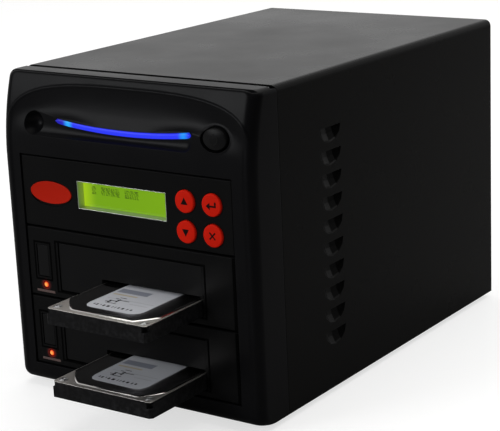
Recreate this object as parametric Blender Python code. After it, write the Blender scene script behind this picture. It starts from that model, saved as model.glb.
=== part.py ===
"""A one-to-one hard drive duplicator: a small steel tower with a moulded front, a display
panel with four keys, and two trayless bays that each hold a 2.5 inch drive.

Every piece is drawn in one set of case axes, in metres: X runs across the case from its middle
line, Y runs from the steel cover's front edge to the rear, and Z runs up from the case's bottom.
"""

import math

import bmesh
import bpy
from mathutils import Matrix, Vector

# Clearances and smoothness that every piece shares
GAP = 0.0003
OVERRUN = 0.001
ROUND_SIDES = 24
SMALL_SIDES = 12
ARC_STEPS = 5
SHARP_EDGE_DEGREES = 32

# Steel case
CASE_WIDTH = 0.176
CASE_HEIGHT = 0.1852
CASE_DEPTH = 0.249
SHEET = 0.001
CASE_EDGE_RADIUS = 0.004
COVER_LIP = 0.011
COVER_LIP_END = 0.007
FLANGE = 0.012
SCREW_HEAD_RADIUS = 0.0033
SCREW_HEAD_HEIGHT = 0.0020
SCREW_SHANK_RADIUS = 0.0015
SCREW_SHANK_LENGTH = 0.0060
SCREW_HOLE_RADIUS = 0.0019
SCREW_FROM_END = 0.026

# Pressed louvres in both sides of the cover
LOUVRE_LENGTH = 0.022
LOUVRE_HEIGHT = 0.0088
LOUVRE_DEPTH = 0.0036
LOUVRE_MIDDLE = 0.0505
LOUVRE_DOWN = 0.0328
LOUVRE_FOOT = 0.0220
LOUVRE_PITCH = 0.0132
LOUVRE_ARC_STEPS = 6
LOUVRE_DISH_STEPS = 3

# Rubber feet
FOOT_RADIUS = 0.0065
FOOT_HEIGHT = 0.0035
FOOT_TAPER = 0.0010
FOOT_STUD_RADIUS = 0.0020
FOOT_STUD_LENGTH = 0.0036
FOOT_FROM_SIDE = 0.020
FOOT_FROM_END = 0.024

# Moulded bezel
BEZEL_DEPTH = 0.027
BEZEL_TOP_DEPTH = 0.018
BEZEL_CORNER = 0.010
BEZEL_SWEEP_HEIGHT = 0.0502
BROW_HEIGHT = 0.0468
BEZEL_SIDE = 0.0137
BEZEL_CHIN_RADIUS = 0.007
BEZEL_TOP_EDGE = 0.0012
BEZEL_WALL = 0.0025
BEZEL_SWEEP_STEPS = 8
BEZEL_LINE_WIDTH = 0.0008
BEZEL_LINE_DEPTH = 0.0010
BROW_WALL = 0.0130
ARCH_FROM_SIDE = 0.005
ARCH_CROWN_DOWN = 0.0030
ARCH_RISE = 0.0330
ARCH_POWER = 2.7
ARCH_STEPS = 28
COVE_FOOT_DOWN = 0.0282
COVE_WAIST_DOWN = 0.0152
COVE_WAIST_DEPTH = 0.0042
COVE_CROWN_DEPTH = 0.0018
COVE_STEPS = 8

# Smile-shaped pocket with its light pipe, the scoop at its left and the power button at its right
SMILE_FROM_LEFT = 0.0240
SMILE_FROM_RIGHT = 0.0380
SMILE_DOWN = 0.0272
SMILE_RISE = 0.0110
LIP_DROP = 0.0080
POCKET_DEPTH = 0.0042
POCKET_END = 0.0060
POCKET_STEPS = 16
PIPE_FROM_LEFT = 0.0400
PIPE_FROM_RIGHT = 0.0415
PIPE_HEIGHT = 0.0034
PIPE_PROUD = 0.0012
PIPE_LENGTH = 0.0075
PIPE_STEPS = 18
LIGHT_BOARD_HEIGHT = 0.009
BOARD = 0.0016
SCOOP_FROM_SIDE = 0.0240
SCOOP_DOWN = 0.0276
SCOOP_RADIUS = 0.0074
SCOOP_DEPTH = 0.0075
POWER_DOWN = 0.0262
POWER_RADIUS = 0.0076
POWER_RING = 0.0014
POWER_RING_DEPTH = 0.0014
POWER_PROUD = 0.0010
POWER_DOME = 0.0014
POWER_FLANGE = 0.0012
POWER_TRAVEL = 0.0025
POWER_STEM_RADIUS = 0.0018
SWITCH_SIZE = 0.0120

# Drive bays: the display panel fills the top one, a trayless rack fills each of the others
BAY_COUNT = 3
BAY_BASE = 0.0115
FACE_GAP = 0.00045
FACE_THICKNESS = 0.003
FACE_RECESS = 0.0013
FACE_BEVEL = 0.0005
MODULE_INSET = 0.0013
MODULE_RIM = 0.0004
BAY_MARGIN = 0.0004

# Bay cage with the shelf that carries the power supply
CAGE_DEPTH = 0.150
CAGE_FOOT = 0.009

# Display panel and its four keys
PANEL_WALL = 0.002
PANEL_DEPTH = 0.014
WINDOW_FROM_BADGE = 0.0039
WINDOW_FROM_KEYS = 0.00705
WINDOW_HEIGHT = 0.0168
WINDOW_LIFT = 0.00105
WINDOW_DEPTH = 0.0050
FRAME_WALL = 0.0006
LCD_MARGIN = 0.0030
LCD_THICKNESS = 0.0032
LCD_BOARD_TAIL = 0.0081
LCD_BOARD_RIM = 0.0017
BADGE_WIDTH = 0.0306
BADGE_HEIGHT = 0.0148
BADGE_FROM_SIDE = 0.0058
BADGE_DROP = 0.00045
BADGE_THICKNESS = 0.0008
BADGE_PROUD = 0.0004
KEY_SPACE = 0.0042
KEY_PROUD = 0.0014
KEY_DOME = 0.0006
KEY_FLANGE = 0.0008
KEY_STEM_RADIUS = 0.0016
KEY_TRAVEL = 0.0010
KEY_FROM_SIDE = 0.00675
KEY_WIDER = 0.0009
KEY_DROP = 0.00235
KEY_BETWEEN_share = 0.4106
TACT_SIZE = 0.0060
TACT_HEIGHT = 0.0035
KEY_STEM_END = 0.0070
TRAY_DEPTH = 0.118
TRAY_WALL_HEIGHT = 0.024
MAIN_BOARD_FROM_SIDE = 0.012
MAIN_BOARD_DEPTH = 0.096
MAIN_BOARD_UP = 0.006
POST_RADIUS = 0.0028
CHIP_SIZE = 0.020
CHIP_HEIGHT = 0.0024
SOCKET_WIDTH = 0.016
SOCKET_DEPTH = 0.008
SOCKET_HEIGHT = 0.009

# Trayless rack
RACK_TAIL = 0.0035
RACK_WALL = 0.002
DOOR_FROM_SIDE = 0.0233
DOOR_UP = 0.0053
DOOR_FROM_TOP = 0.0085
DOOR_THICKNESS = 0.002
DOOR_RECESS = 0.0005
DOOR_GAP = 0.0004
DOOR_LUG = 0.002
DOOR_LUG_HEIGHT = 0.003
DOOR_PIN_RADIUS = 0.0009
DOOR_PIN_LENGTH = 0.0016
RACK_HEADROOM = 0.0043
NOTCH_ROOM = 0.0016
FLAP_THICKNESS = 0.0010
FLAP_LENGTH = 0.0104
FLAP_BARREL_RADIUS = 0.0011
FLAP_PIN_RADIUS = 0.0006
FLAP_HOLE_RADIUS = 0.0008
FLAP_LUG = 0.0015
EJECT_WIDTH = 0.0084
EJECT_LOW = 0.0123
EJECT_FROM_TOP = 0.0112
EJECT_FROM_SIDE = 0.0066
EJECT_LENGTH = 0.012
EJECT_RECESS = 0.0002
EJECT_FLANGE = 0.0010
LENS_RADIUS = 0.0015
LENS_PROUD = 0.0005
LENS_LENGTH = 0.006
LENS_FLANGE = 0.0007
LENS_FROM_SIDE = 0.0118
LENS_UP = 0.0074
BACKPLANE_WIDTH = 0.094
BACKPLANE_MARGIN = 0.00615

# 2.5 inch drive
DRIVE_WIDTH = 0.06985
DRIVE_DEPTH = 0.1002
DRIVE_HEIGHT = 0.0095
DRIVE_SIDE_GAP = 0.0009
DRIVE_OUT = 0.0486
DRIVE_CORNER = 0.0016
LID_THICKNESS = 0.0008
LID_MARGIN = 0.0007
LID_STEP = 0.0040
LID_CORNER = 0.0090
LID_RAISE = 0.0005
LID_RAISE_MARGIN = 0.0045
DRIVE_BOARD_DEPTH = 0.052
DRIVE_BOARD_RECESS = 0.0020
DRIVE_BOARD_THICKNESS = 0.0008
DRIVE_RAIL = 0.0045
CORNER_NOTCH = 0.0030
CORNER_NOTCH_HEIGHT = 0.0030
PLUG_WIDTH = 0.0430
PLUG_HEIGHT = 0.0046
PLUG_DEPTH = 0.0060
BLADE_WIDTH = 0.0360
BLADE_THICKNESS = 0.0012
BLADE_LENGTH = 0.0040
SOCKET_REACH = 0.0042
SOCKET_WALL = 0.0013

# Power supply above the bays
SUPPLY_WIDTH = 0.0815
SUPPLY_HEIGHT = 0.0405
SUPPLY_DEPTH = 0.150
SUPPLY_FROM_SIDE = 0.0067
SUPPLY_RIM = 0.0020
VENT_COUNT = 6
VENT_WIDTH = 0.0030
VENT_HEIGHT = 0.024
VENT_PITCH = 0.0075
INLET_WIDTH = 0.0270
INLET_HEIGHT = 0.0185
INLET_FLANGE = 0.0015
INLET_PROUD = 0.0022
INLET_DEPTH = 0.018
INLET_CHAMFER = 0.0045
INLET_FROM_SIDE = 0.0200
INLET_UP = 0.0130
INLET_WALL = 0.0020
INLET_WELL = 0.0140
BLADE_PIN_WIDTH = 0.0020
BLADE_PIN_HEIGHT = 0.0045
BLADE_PIN_PITCH = 0.0070
BLADE_PIN_OFFSET = 0.0022
ROCKER_WIDTH = 0.0190
ROCKER_HEIGHT = 0.0110
ROCKER_UP = 0.0310
ROCKER_FRAME = 0.0014
ROCKER_DEPTH = 0.010
ROCKER_TILT_DEGREES = 9.0

# Fans
SMALL_FAN_SIZE = 0.040
SMALL_FAN_DEPTH = 0.020
SMALL_FAN_FROM_SIDE = 0.0215
CASE_FAN_SIZE = 0.080
CASE_FAN_DEPTH = 0.025
FAN_CORNER_share = 0.06
FAN_DUCT_share = 0.47
FAN_HUB_share = 0.22
FAN_BLADE_share = 0.45
FAN_BLADE_COUNT = 7
FAN_BLADE_THICKNESS = 0.0012
FAN_TWIST_ROOT_DEGREES = 52
FAN_TWIST_TIP_DEGREES = 34
FAN_ARM_WIDTH = 0.004
FAN_ARM_THICKNESS_share = 0.14
FAN_ROTOR_LENGTH_share = 0.66
GUARD_RINGS = 3
GUARD_WIRE_RADIUS = 0.0009
GUARD_FIRST_RING_share = 0.30
GUARD_OUTER_RING_share = 0.92
GUARD_ARM_share = 0.62
GUARD_SECTION_SIDES = 5
GRILLE_BAR = 0.0022
GRILLE_INNER_share = 0.25
GRILLE_MIDDLE_share = 0.60

# Cables that stay inside
CABLE_RADIUS = 0.0026
CABLE_SIDES = 10
CABLE_STEPS = 6
CABLE_END = 0.012
CABLE_BOW = 0.020

# Places that follow from the sizes above
HALF = CASE_WIDTH / 2
INSIDE = HALF - SHEET - GAP
LOUVRE_TOP = CASE_HEIGHT - LOUVRE_DOWN
LOUVRE_COUNT = 1 + math.floor((LOUVRE_TOP - LOUVRE_HEIGHT - LOUVRE_FOOT) / LOUVRE_PITCH)
SWEEP_START = CASE_HEIGHT - BEZEL_SWEEP_HEIGHT
ARCH_HALF_WIDTH = HALF - ARCH_FROM_SIDE
ARCH_CROWN = CASE_HEIGHT - ARCH_CROWN_DOWN
ARCH_SPRING = ARCH_CROWN - ARCH_RISE
COVE_FOOT = CASE_HEIGHT - COVE_FOOT_DOWN
COVE_WAIST = CASE_HEIGHT - COVE_WAIST_DOWN
SMILE_LEFT = HALF - SMILE_FROM_LEFT
SMILE_RIGHT = HALF - SMILE_FROM_RIGHT
SMILE_HEIGHT = CASE_HEIGHT - SMILE_DOWN
LIP_HEIGHT = SMILE_HEIGHT - LIP_DROP
PIPE_LEFT = HALF - PIPE_FROM_LEFT
PIPE_RIGHT = HALF - PIPE_FROM_RIGHT
SCOOP_FROM_MIDDLE = HALF - SCOOP_FROM_SIDE
SCOOP_HEIGHT = CASE_HEIGHT - SCOOP_DOWN
POWER_HEIGHT = CASE_HEIGHT - POWER_DOWN
BAY_PITCH = (CASE_HEIGHT - BAY_BASE - BROW_HEIGHT) / BAY_COUNT
FACE_WIDTH = CASE_WIDTH - 2 * BEZEL_SIDE
FACE_HEIGHT = BAY_PITCH - 2 * FACE_GAP
MODULE_WIDTH = FACE_WIDTH - 2 * MODULE_INSET
MODULE_HEIGHT = FACE_HEIGHT - 2 * MODULE_RIM
FACE_Y = -BEZEL_DEPTH + FACE_RECESS
FACE_BACK = FACE_Y + FACE_THICKNESS
KEY_BETWEEN = FACE_HEIGHT * KEY_BETWEEN_share
KEY_RADIUS = (KEY_BETWEEN - KEY_SPACE) / 2
KEY_ACROSS = KEY_BETWEEN + KEY_WIDER
KEY_MIDDLE = FACE_WIDTH / 2 - KEY_FROM_SIDE - KEY_RADIUS - KEY_ACROSS / 2
KEY_UP = BAY_PITCH / 2 - KEY_DROP
BADGE_MIDDLE = -FACE_WIDTH / 2 + BADGE_FROM_SIDE + BADGE_WIDTH / 2
BADGE_UP = BAY_PITCH / 2 - BADGE_DROP
WINDOW_LEFT = BADGE_MIDDLE + BADGE_WIDTH / 2 + WINDOW_FROM_BADGE
WINDOW_RIGHT = KEY_MIDDLE - KEY_ACROSS / 2 - KEY_RADIUS - WINDOW_FROM_KEYS
WINDOW_UP = BAY_PITCH / 2 + WINDOW_LIFT
LCD_BOARD_HEIGHT = MODULE_HEIGHT - 2 * PANEL_WALL - 2 * GAP
MAIN_BOARD_WIDTH = MODULE_WIDTH - 2 * MAIN_BOARD_FROM_SIDE
OPENING_HALF = FACE_WIDTH / 2 + BAY_MARGIN
OPENING_LOW = BAY_BASE
OPENING_HIGH = BAY_BASE + BAY_COUNT * BAY_PITCH + BAY_MARGIN
CAGE_HALF = MODULE_WIDTH / 2 + GAP
CAGE_TOP = OPENING_HIGH + GAP
REAR_PANEL_BACK = CASE_DEPTH - SHEET - GAP
REAR_PANEL_FRONT = REAR_PANEL_BACK - SHEET
SUPPLY_LEFT = -INSIDE + SUPPLY_FROM_SIDE
SUPPLY_FLOOR = CAGE_TOP + SHEET + GAP
CASE_FAN_HEIGHT = (SHEET + CAGE_TOP) / 2
SUPPLY_BACK = REAR_PANEL_FRONT - GAP
DOOR_HALF = FACE_WIDTH / 2 - DOOR_FROM_SIDE
DOOR_HEIGHT = BAY_PITCH - DOOR_UP - DOOR_FROM_TOP
DOOR_FRONT = FACE_Y + DOOR_RECESS
DOOR_BACK = DOOR_FRONT + DOOR_THICKNESS
DOOR_AXIS_Y = DOOR_BACK + GAP
DOOR_AXIS_UP = DOOR_UP + DOOR_HEIGHT - DOOR_LUG_HEIGHT / 2
CHANNEL_HALF = DOOR_HALF + DOOR_GAP
CHANNEL_UP = DOOR_UP - DOOR_GAP
DRIVE_RIGHT = CHANNEL_HALF - DRIVE_SIDE_GAP
DRIVE_LEFT = DRIVE_RIGHT - DRIVE_WIDTH
DRIVE_UP = CHANNEL_UP + GAP
DRIVE_FRONT = FACE_Y - DRIVE_OUT
DRIVE_TRAVEL_IN = DRIVE_OUT + (DOOR_BACK - FACE_Y) + FLAP_LUG + GAP
DRIVE_SEATED = DRIVE_FRONT + DRIVE_TRAVEL_IN + DRIVE_DEPTH
RACK_DEPTH = DRIVE_SEATED - FACE_Y + RACK_TAIL
NOTCH_HEIGHT = DRIVE_UP + DRIVE_HEIGHT - DOOR_UP + NOTCH_ROOM
EJECT_HIGH = BAY_PITCH - EJECT_FROM_TOP
EJECT_UP = (EJECT_LOW + EJECT_HIGH) / 2
EJECT_HEIGHT = EJECT_HIGH - EJECT_LOW
EJECT_MIDDLE = -FACE_WIDTH / 2 + EJECT_FROM_SIDE + EJECT_WIDTH / 2
LENS_MIDDLE = -FACE_WIDTH / 2 + LENS_FROM_SIDE
BACKPLANE_HEIGHT = BAY_PITCH - 2 * BACKPLANE_MARGIN
FLAP_AXIS_Y = DOOR_BACK + GAP + FLAP_BARREL_RADIUS
FLAP_AXIS_UP = DRIVE_UP + DRIVE_HEIGHT + GAP + FLAP_BARREL_RADIUS
NOTCH_LEFT = DRIVE_LEFT - 2 * GAP
OBJECT_FRONT = DRIVE_FRONT
OBJECT_BACK = CASE_DEPTH + GAP + SCREW_HEAD_HEIGHT
ORIGIN_Y = -(OBJECT_FRONT + OBJECT_BACK) / 2

# Finishes: colour, roughness, metallic
FINISHES = {
    "bezel_plastic": ((0.030, 0.030, 0.032), 0.42, 0.0),
    "module_plastic": ((0.036, 0.036, 0.038), 0.50, 0.0),
    "black_steel": ((0.040, 0.038, 0.036), 0.48, 0.3),
    "bare_steel": ((0.55, 0.55, 0.56), 0.35, 0.9),
    "silver_frame": ((0.62, 0.62, 0.63), 0.30, 0.9),
    "display_green": ((0.55, 0.85, 0.05), 0.25, 0.0),
    "badge_red": ((0.80, 0.09, 0.04), 0.40, 0.0),
    "key_red": ((0.82, 0.10, 0.05), 0.45, 0.0),
    "blue_light": ((0.08, 0.12, 0.95), 0.25, 0.0),
    "red_lens": ((0.95, 0.12, 0.03), 0.25, 0.0),
    "board_green": ((0.02, 0.17, 0.07), 0.45, 0.0),
    "cast_aluminium": ((0.16, 0.16, 0.17), 0.45, 0.8),
    "drive_lid": ((0.42, 0.41, 0.40), 0.28, 0.9),
    "black_plastic": ((0.018, 0.018, 0.018), 0.50, 0.0),
    "rubber": ((0.012, 0.012, 0.012), 0.85, 0.0),
    "cable_red": ((0.55, 0.03, 0.03), 0.50, 0.0),
}


# Modelling helpers

def clear_scene():
    """Take away whatever the file opened with."""
    for thing in list(bpy.data.objects):
        bpy.data.objects.remove(thing, do_unlink=True)


def finish_material(slot):
    """The named finish as a Principled material, made once."""
    material = bpy.data.materials.get(slot)
    if material is None:
        colour, roughness, metallic = FINISHES[slot]
        material = bpy.data.materials.new(slot)
        material.use_nodes = True
        shader = material.node_tree.nodes["Principled BSDF"]
        shader.inputs["Base Color"].default_value = (*colour, 1.0)
        shader.inputs["Roughness"].default_value = roughness
        shader.inputs["Metallic"].default_value = metallic
        material.diffuse_color = (*colour, 1.0)
    return material


def solid(name, points, faces):
    """An object from points and faces, with its faces turned outwards."""
    mesh = bpy.data.meshes.new(name)
    mesh.from_pydata([tuple(point) for point in points], [], faces)
    shape = bmesh.new()
    shape.from_mesh(mesh)
    bmesh.ops.recalc_face_normals(shape, faces=shape.faces)
    shape.to_mesh(mesh)
    shape.free()
    thing = bpy.data.objects.new(name, mesh)
    bpy.context.scene.collection.objects.link(thing)
    return thing


def loft(name, rings, closed=False):
    """Rings with the same number of points, joined in order; the ends are capped unless it closes."""
    count = len(rings[0])
    points = [point for ring in rings for point in ring]
    faces = []
    last = len(rings) if closed else len(rings) - 1
    for row in range(last):
        start, after = row * count, ((row + 1) % len(rings)) * count
        for step in range(count):
            along = (step + 1) % count
            faces.append((start + step, start + along, after + along, after + step))
    if not closed:
        faces.append(tuple(range(count)))
        faces.append(tuple(range((len(rings) - 1) * count, len(rings) * count)))
    return solid(name, points, faces)


def placed(axis, a, b, along):
    """A point from its two outline coordinates and its place along the axis."""
    if axis == "X":
        return (along, a, b)
    if axis == "Y":
        return (a, along, b)
    return (a, b, along)


def prism(name, outline, axis, start, end):
    """An outline carried straight along X, Y or Z."""
    return loft(name, [[placed(axis, a, b, along) for a, b in outline] for along in (start, end)])


def box(name, low, high):
    """A block between two opposite corners."""
    outline = rectangle(low[0], high[0], low[1], high[1])
    return prism(name, outline, "Z", low[2], high[2])


def rectangle(left, right, low, high):
    """The four corners of a rectangle, in order."""
    return [(left, low), (right, low), (right, high), (left, high)]


def arc(centre, radius, start, end, steps):
    """Points on a circle from one angle to another, both included, in degrees."""
    turn = [math.radians(start + (end - start) * step / steps) for step in range(steps + 1)]
    return [(centre[0] + radius * math.cos(t), centre[1] + radius * math.sin(t)) for t in turn]


def rounded_rectangle(left, right, low, high, radius, steps=ARC_STEPS):
    """A rectangle with round corners."""
    return (
        arc((left + radius, low + radius), radius, 180, 270, steps)
        + arc((right - radius, low + radius), radius, 270, 360, steps)
        + arc((right - radius, high - radius), radius, 0, 90, steps)
        + arc((left + radius, high - radius), radius, 90, 180, steps)
    )


def ellipse(centre, across, high, sides):
    """An ellipse from its full width and height."""
    turn = [2 * math.pi * step / sides for step in range(sides)]
    return [(centre[0] + across / 2 * math.cos(t), centre[1] + high / 2 * math.sin(t)) for t in turn]


def turned(name, profile, axis, centre, sides=ROUND_SIDES):
    """A profile of (radius, along) pairs turned about an axis; a radius of zero closes an end."""
    points, rows, faces = [], [], []
    for radius, along in profile:
        if radius == 0:
            rows.append([len(points)])
            points.append(placed(axis, centre[0], centre[1], along))
            continue
        rows.append(list(range(len(points), len(points) + sides)))
        for a, b in ellipse(centre, 2 * radius, 2 * radius, sides):
            points.append(placed(axis, a, b, along))
    for before, after in zip(rows, rows[1:]):
        for step in range(sides):
            along = (step + 1) % sides
            if len(before) == 1:
                faces.append((before[0], after[along], after[step]))
            elif len(after) == 1:
                faces.append((before[step], before[along], after[0]))
            else:
                faces.append((before[step], before[along], after[along], after[step]))
    for row in (rows[0], rows[-1]):
        if len(row) > 1:
            faces.append(tuple(row))
    return solid(name, points, faces)


def cylinder(name, radius, axis, centre, start, end, sides=ROUND_SIDES):
    """A round bar along an axis."""
    return turned(name, [(radius, start), (radius, end)], axis, centre, sides)


def combine(operation, target, others):
    """One boolean after another on the target; the other shapes are used up."""
    for other in others:
        change = target.modifiers.new(operation.lower(), "BOOLEAN")
        change.operation = operation
        change.object = other
        change.solver = "EXACT"
        graph = bpy.context.evaluated_depsgraph_get()
        mesh = bpy.data.meshes.new_from_object(target.evaluated_get(graph))
        target.modifiers.clear()
        old = target.data
        target.data = mesh
        bpy.data.meshes.remove(old)
        bpy.data.objects.remove(other, do_unlink=True)
    return target


def cut(target, *others):
    """The target with the other shapes taken away from it."""
    return combine("DIFFERENCE", target, others)


def fuse(target, *others):
    """The target with the other shapes joined to it."""
    return combine("UNION", target, others)


def common(target, other):
    """What two shapes share."""
    return combine("INTERSECT", target, [other])


def soften(thing, width, direction=None):
    """Bevel the edges that run along a direction, or all sharp edges."""
    shape = bmesh.new()
    shape.from_mesh(thing.data)
    sharp = []
    for edge in shape.edges:
        if len(edge.link_faces) != 2 or edge.calc_face_angle(0) < math.radians(SHARP_EDGE_DEGREES):
            continue
        run = (edge.verts[1].co - edge.verts[0].co).normalized()
        if direction is None or abs(run.dot(Vector(direction))) > math.cos(math.radians(SHARP_EDGE_DEGREES)):
            sharp.append(edge)
    bmesh.ops.bevel(shape, geom=sharp, offset=width, segments=1, affect="EDGES", clamp_overlap=True)
    shape.to_mesh(thing.data)
    shape.free()
    return thing


def mirrored(thing, name):
    """A copy on the other side of the middle line."""
    mesh = thing.data.copy()
    mesh.transform(Matrix.Scale(-1, 4, Vector((1, 0, 0))))
    mesh.flip_normals()
    copy = bpy.data.objects.new(name, mesh)
    bpy.context.scene.collection.objects.link(copy)
    return copy


def finished(thing, name, slot, round_shading=False):
    """Name a piece, give it its finish and shade what is round as round."""
    thing.name = name
    thing.data.name = name
    thing.data.materials.clear()
    thing.data.materials.append(finish_material(slot))
    if round_shading:
        thing.data.shade_smooth()
        thing.data.set_sharp_from_angle(angle=math.radians(SHARP_EDGE_DEGREES))
    return thing


def hung(thing, x, y, z):
    """Put a moving piece's origin on its joint's axis."""
    place = Vector((x, y, z))
    thing.data.transform(Matrix.Translation(-place))
    thing.location = place
    return thing


def bay_floor(number):
    """Bottom of a bay, counted from the lowest."""
    return BAY_BASE + number * BAY_PITCH


def face_low(floor):
    """Bottom edge of the front face in a bay."""
    return floor + (BAY_PITCH - FACE_HEIGHT) / 2


def face_high(floor):
    """Top edge of the front face in a bay."""
    return face_low(floor) + FACE_HEIGHT


# Steel case

def cover_section(outset):
    """Half of the cover's section, from its left foot over the left bend, moved out by an amount."""
    half = CASE_WIDTH / 2 - SHEET + outset
    top = CASE_HEIGHT - SHEET + outset
    radius = CASE_EDGE_RADIUS - SHEET + outset
    left = [(-half, 0)] + arc((-half + radius, top - radius), radius, 180, 90, ARC_STEPS)
    right = [(-a, b) for a, b in reversed(left)]
    return left + right


def louvre_dish(name, top, outset):
    """A quarter of an ellipsoid that opens along its straight upper edge; outset thickens it."""
    half = LOUVRE_LENGTH / 2 + outset
    low = LOUVRE_HEIGHT + outset
    deep = LOUVRE_DEPTH + outset
    face = CASE_WIDTH / 2 + (OVERRUN if outset == 0 else 0)
    lift = OVERRUN if outset == 0 else 0
    rings = []
    for step in range(LOUVRE_ARC_STEPS + 1):
        turn = math.pi * step / LOUVRE_ARC_STEPS
        out, along = math.sin(turn), half * math.cos(turn)
        out = max(out, GAP / LOUVRE_HEIGHT)
        ring = [(face, LOUVRE_MIDDLE + along, top + lift)]
        for dish in range(LOUVRE_DISH_STEPS + 1):
            lean = math.pi / 2 * dish / LOUVRE_DISH_STEPS
            ring.append((
                CASE_WIDTH / 2 - deep * out * math.sin(lean) + (face - CASE_WIDTH / 2) * math.cos(lean),
                LOUVRE_MIDDLE + along,
                top - low * out * math.cos(lean) + lift * math.sin(lean),
            ))
        rings.append(ring)
    return loft(name, rings)


def outer_cover():
    """The top and both sides in one sheet, with pressed louvres and a screw lip at the rear."""
    section = cover_section(SHEET) + list(reversed(cover_section(0)))
    cover = prism("outer_cover", section, "Y", 0, CASE_DEPTH)
    for number in range(LOUVRE_COUNT):
        top = LOUVRE_TOP - number * LOUVRE_PITCH
        shell = louvre_dish("louvre_shell", top, SHEET)
        other_shell = mirrored(shell, "louvre_shell_left")
        dish = louvre_dish("louvre_dish", top, 0)
        other_dish = mirrored(dish, "louvre_dish_left")
        fuse(cover, shell, other_shell)
        cut(cover, dish, other_dish)
    half = CASE_WIDTH / 2
    lip = prism(
        "lip",
        rectangle(half - SHEET - COVER_LIP, half - SHEET / 2, COVER_LIP_END, CASE_HEIGHT - COVER_LIP_END),
        "Y",
        CASE_DEPTH - SHEET,
        CASE_DEPTH,
    )
    fuse(cover, mirrored(lip, "lip_left"), lip)
    end = CASE_DEPTH + OVERRUN
    for x, z in screw_places():
        cut(cover, cylinder("hole", SCREW_HOLE_RADIUS, "Y", (x, z), REAR_PANEL_BACK, end, SMALL_SIDES))
    return finished(cover, "outer_cover", "black_steel", True)


def screw_places():
    """Middles of the four rear screws."""
    x = CASE_WIDTH / 2 - SHEET - COVER_LIP / 2
    return [(side * x, z) for side in (-1, 1) for z in (SCREW_FROM_END, CASE_HEIGHT - SCREW_FROM_END)]


def cover_screws():
    """Four pan-head screws that hold the cover to the rear panel."""
    head = CASE_DEPTH + GAP
    for number, (x, z) in enumerate(screw_places(), 1):
        profile = [
            (0, head - SCREW_SHANK_LENGTH),
            (SCREW_SHANK_RADIUS, head - SCREW_SHANK_LENGTH),
            (SCREW_SHANK_RADIUS, head),
            (SCREW_HEAD_RADIUS, head),
            (SCREW_HEAD_RADIUS, head + SCREW_HEAD_HEIGHT / 2),
            (SCREW_HEAD_RADIUS - SCREW_HEAD_HEIGHT / 2, head + SCREW_HEAD_HEIGHT),
            (0, head + SCREW_HEAD_HEIGHT),
        ]
        screw = turned("screw", profile, "Y", (x, z), SMALL_SIDES)
        slot_half = SCREW_HOLE_RADIUS / ROUND_SIDES * 3
        slot = box(
            "slot",
            (x - SCREW_HEAD_RADIUS, head + SCREW_HEAD_HEIGHT / 2, z - slot_half),
            (x + SCREW_HEAD_RADIUS, head + SCREW_HEAD_HEIGHT + OVERRUN, z + slot_half),
        )
        finished(cut(screw, slot), "cover_screw_%d" % number, "bare_steel", True)


def base_pan():
    """Floor of the case with turned-up sides and a front wall that is open for the bays."""
    low = GAP
    floor = box("base_pan", (-INSIDE, GAP, low), (INSIDE, REAR_PANEL_FRONT - GAP, low + SHEET))
    side = box("side", (INSIDE - SHEET, GAP, low), (INSIDE, REAR_PANEL_FRONT - FLANGE, low + FLANGE))
    wall = prism("wall", front_wall_outline(), "Y", GAP, GAP + SHEET)
    opening = box(
        "opening",
        (-CAGE_HALF - SHEET, -OVERRUN, OPENING_LOW - BAY_MARGIN),
        (CAGE_HALF + SHEET, GAP + SHEET + OVERRUN, OPENING_HIGH),
    )
    passage = box(
        "passage",
        (-INSIDE + FLANGE, -OVERRUN, OPENING_HIGH + FLANGE / 2),
        (INSIDE - FLANGE, GAP + SHEET + OVERRUN, CASE_HEIGHT - FLANGE),
    )
    fuse(floor, wall, mirrored(side, "side_left"), side)
    cut(floor, opening, passage)
    under, over = low - OVERRUN, low + SHEET + OVERRUN
    for x, y in foot_places():
        cut(floor, cylinder("hole", FOOT_STUD_RADIUS + GAP, "Z", (x, y), under, over, SMALL_SIDES))
    return finished(floor, "base_pan", "bare_steel")


def front_wall_outline():
    """The front wall clears the cover's inner bends at its top corners."""
    low, high = GAP, CASE_HEIGHT - SHEET - GAP
    nip = CASE_EDGE_RADIUS
    return [
        (-INSIDE, low), (INSIDE, low), (INSIDE, high - nip), (INSIDE - nip, high),
        (-INSIDE + nip, high), (-INSIDE, high - nip),
    ]


def rear_panel():
    """Rear wall with its turned-in sides, the fan hole and the opening of the power supply."""
    low, high = GAP, CASE_HEIGHT - SHEET - GAP
    panel = prism("rear_panel", front_wall_outline(), "Y", REAR_PANEL_FRONT, REAR_PANEL_BACK)
    side = box(
        "side",
        (INSIDE - SHEET, REAR_PANEL_FRONT - FLANGE + GAP, low + SHEET + GAP),
        (INSIDE, REAR_PANEL_BACK - SHEET / 2, high - CASE_EDGE_RADIUS),
    )
    fuse(panel, mirrored(side, "side_left"), side)
    back, front = REAR_PANEL_BACK + OVERRUN, REAR_PANEL_FRONT - OVERRUN
    cut(panel, prism(
        "supply_opening",
        rectangle(
            SUPPLY_LEFT + SUPPLY_RIM,
            SUPPLY_LEFT + SUPPLY_WIDTH - SUPPLY_RIM,
            SUPPLY_FLOOR + SUPPLY_RIM,
            SUPPLY_FLOOR + SUPPLY_HEIGHT - SUPPLY_RIM,
        ),
        "Y",
        front,
        back,
    ))
    duct = CASE_FAN_SIZE * FAN_DUCT_share
    cut(panel, cylinder("fan_hole", duct, "Y", (0, CASE_FAN_HEIGHT), front, back))
    for x, z in screw_places():
        cut(panel, cylinder("hole", SCREW_HOLE_RADIUS, "Y", (x, z), front, back, SMALL_SIDES))
    return finished(panel, "rear_panel", "black_steel")


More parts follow.
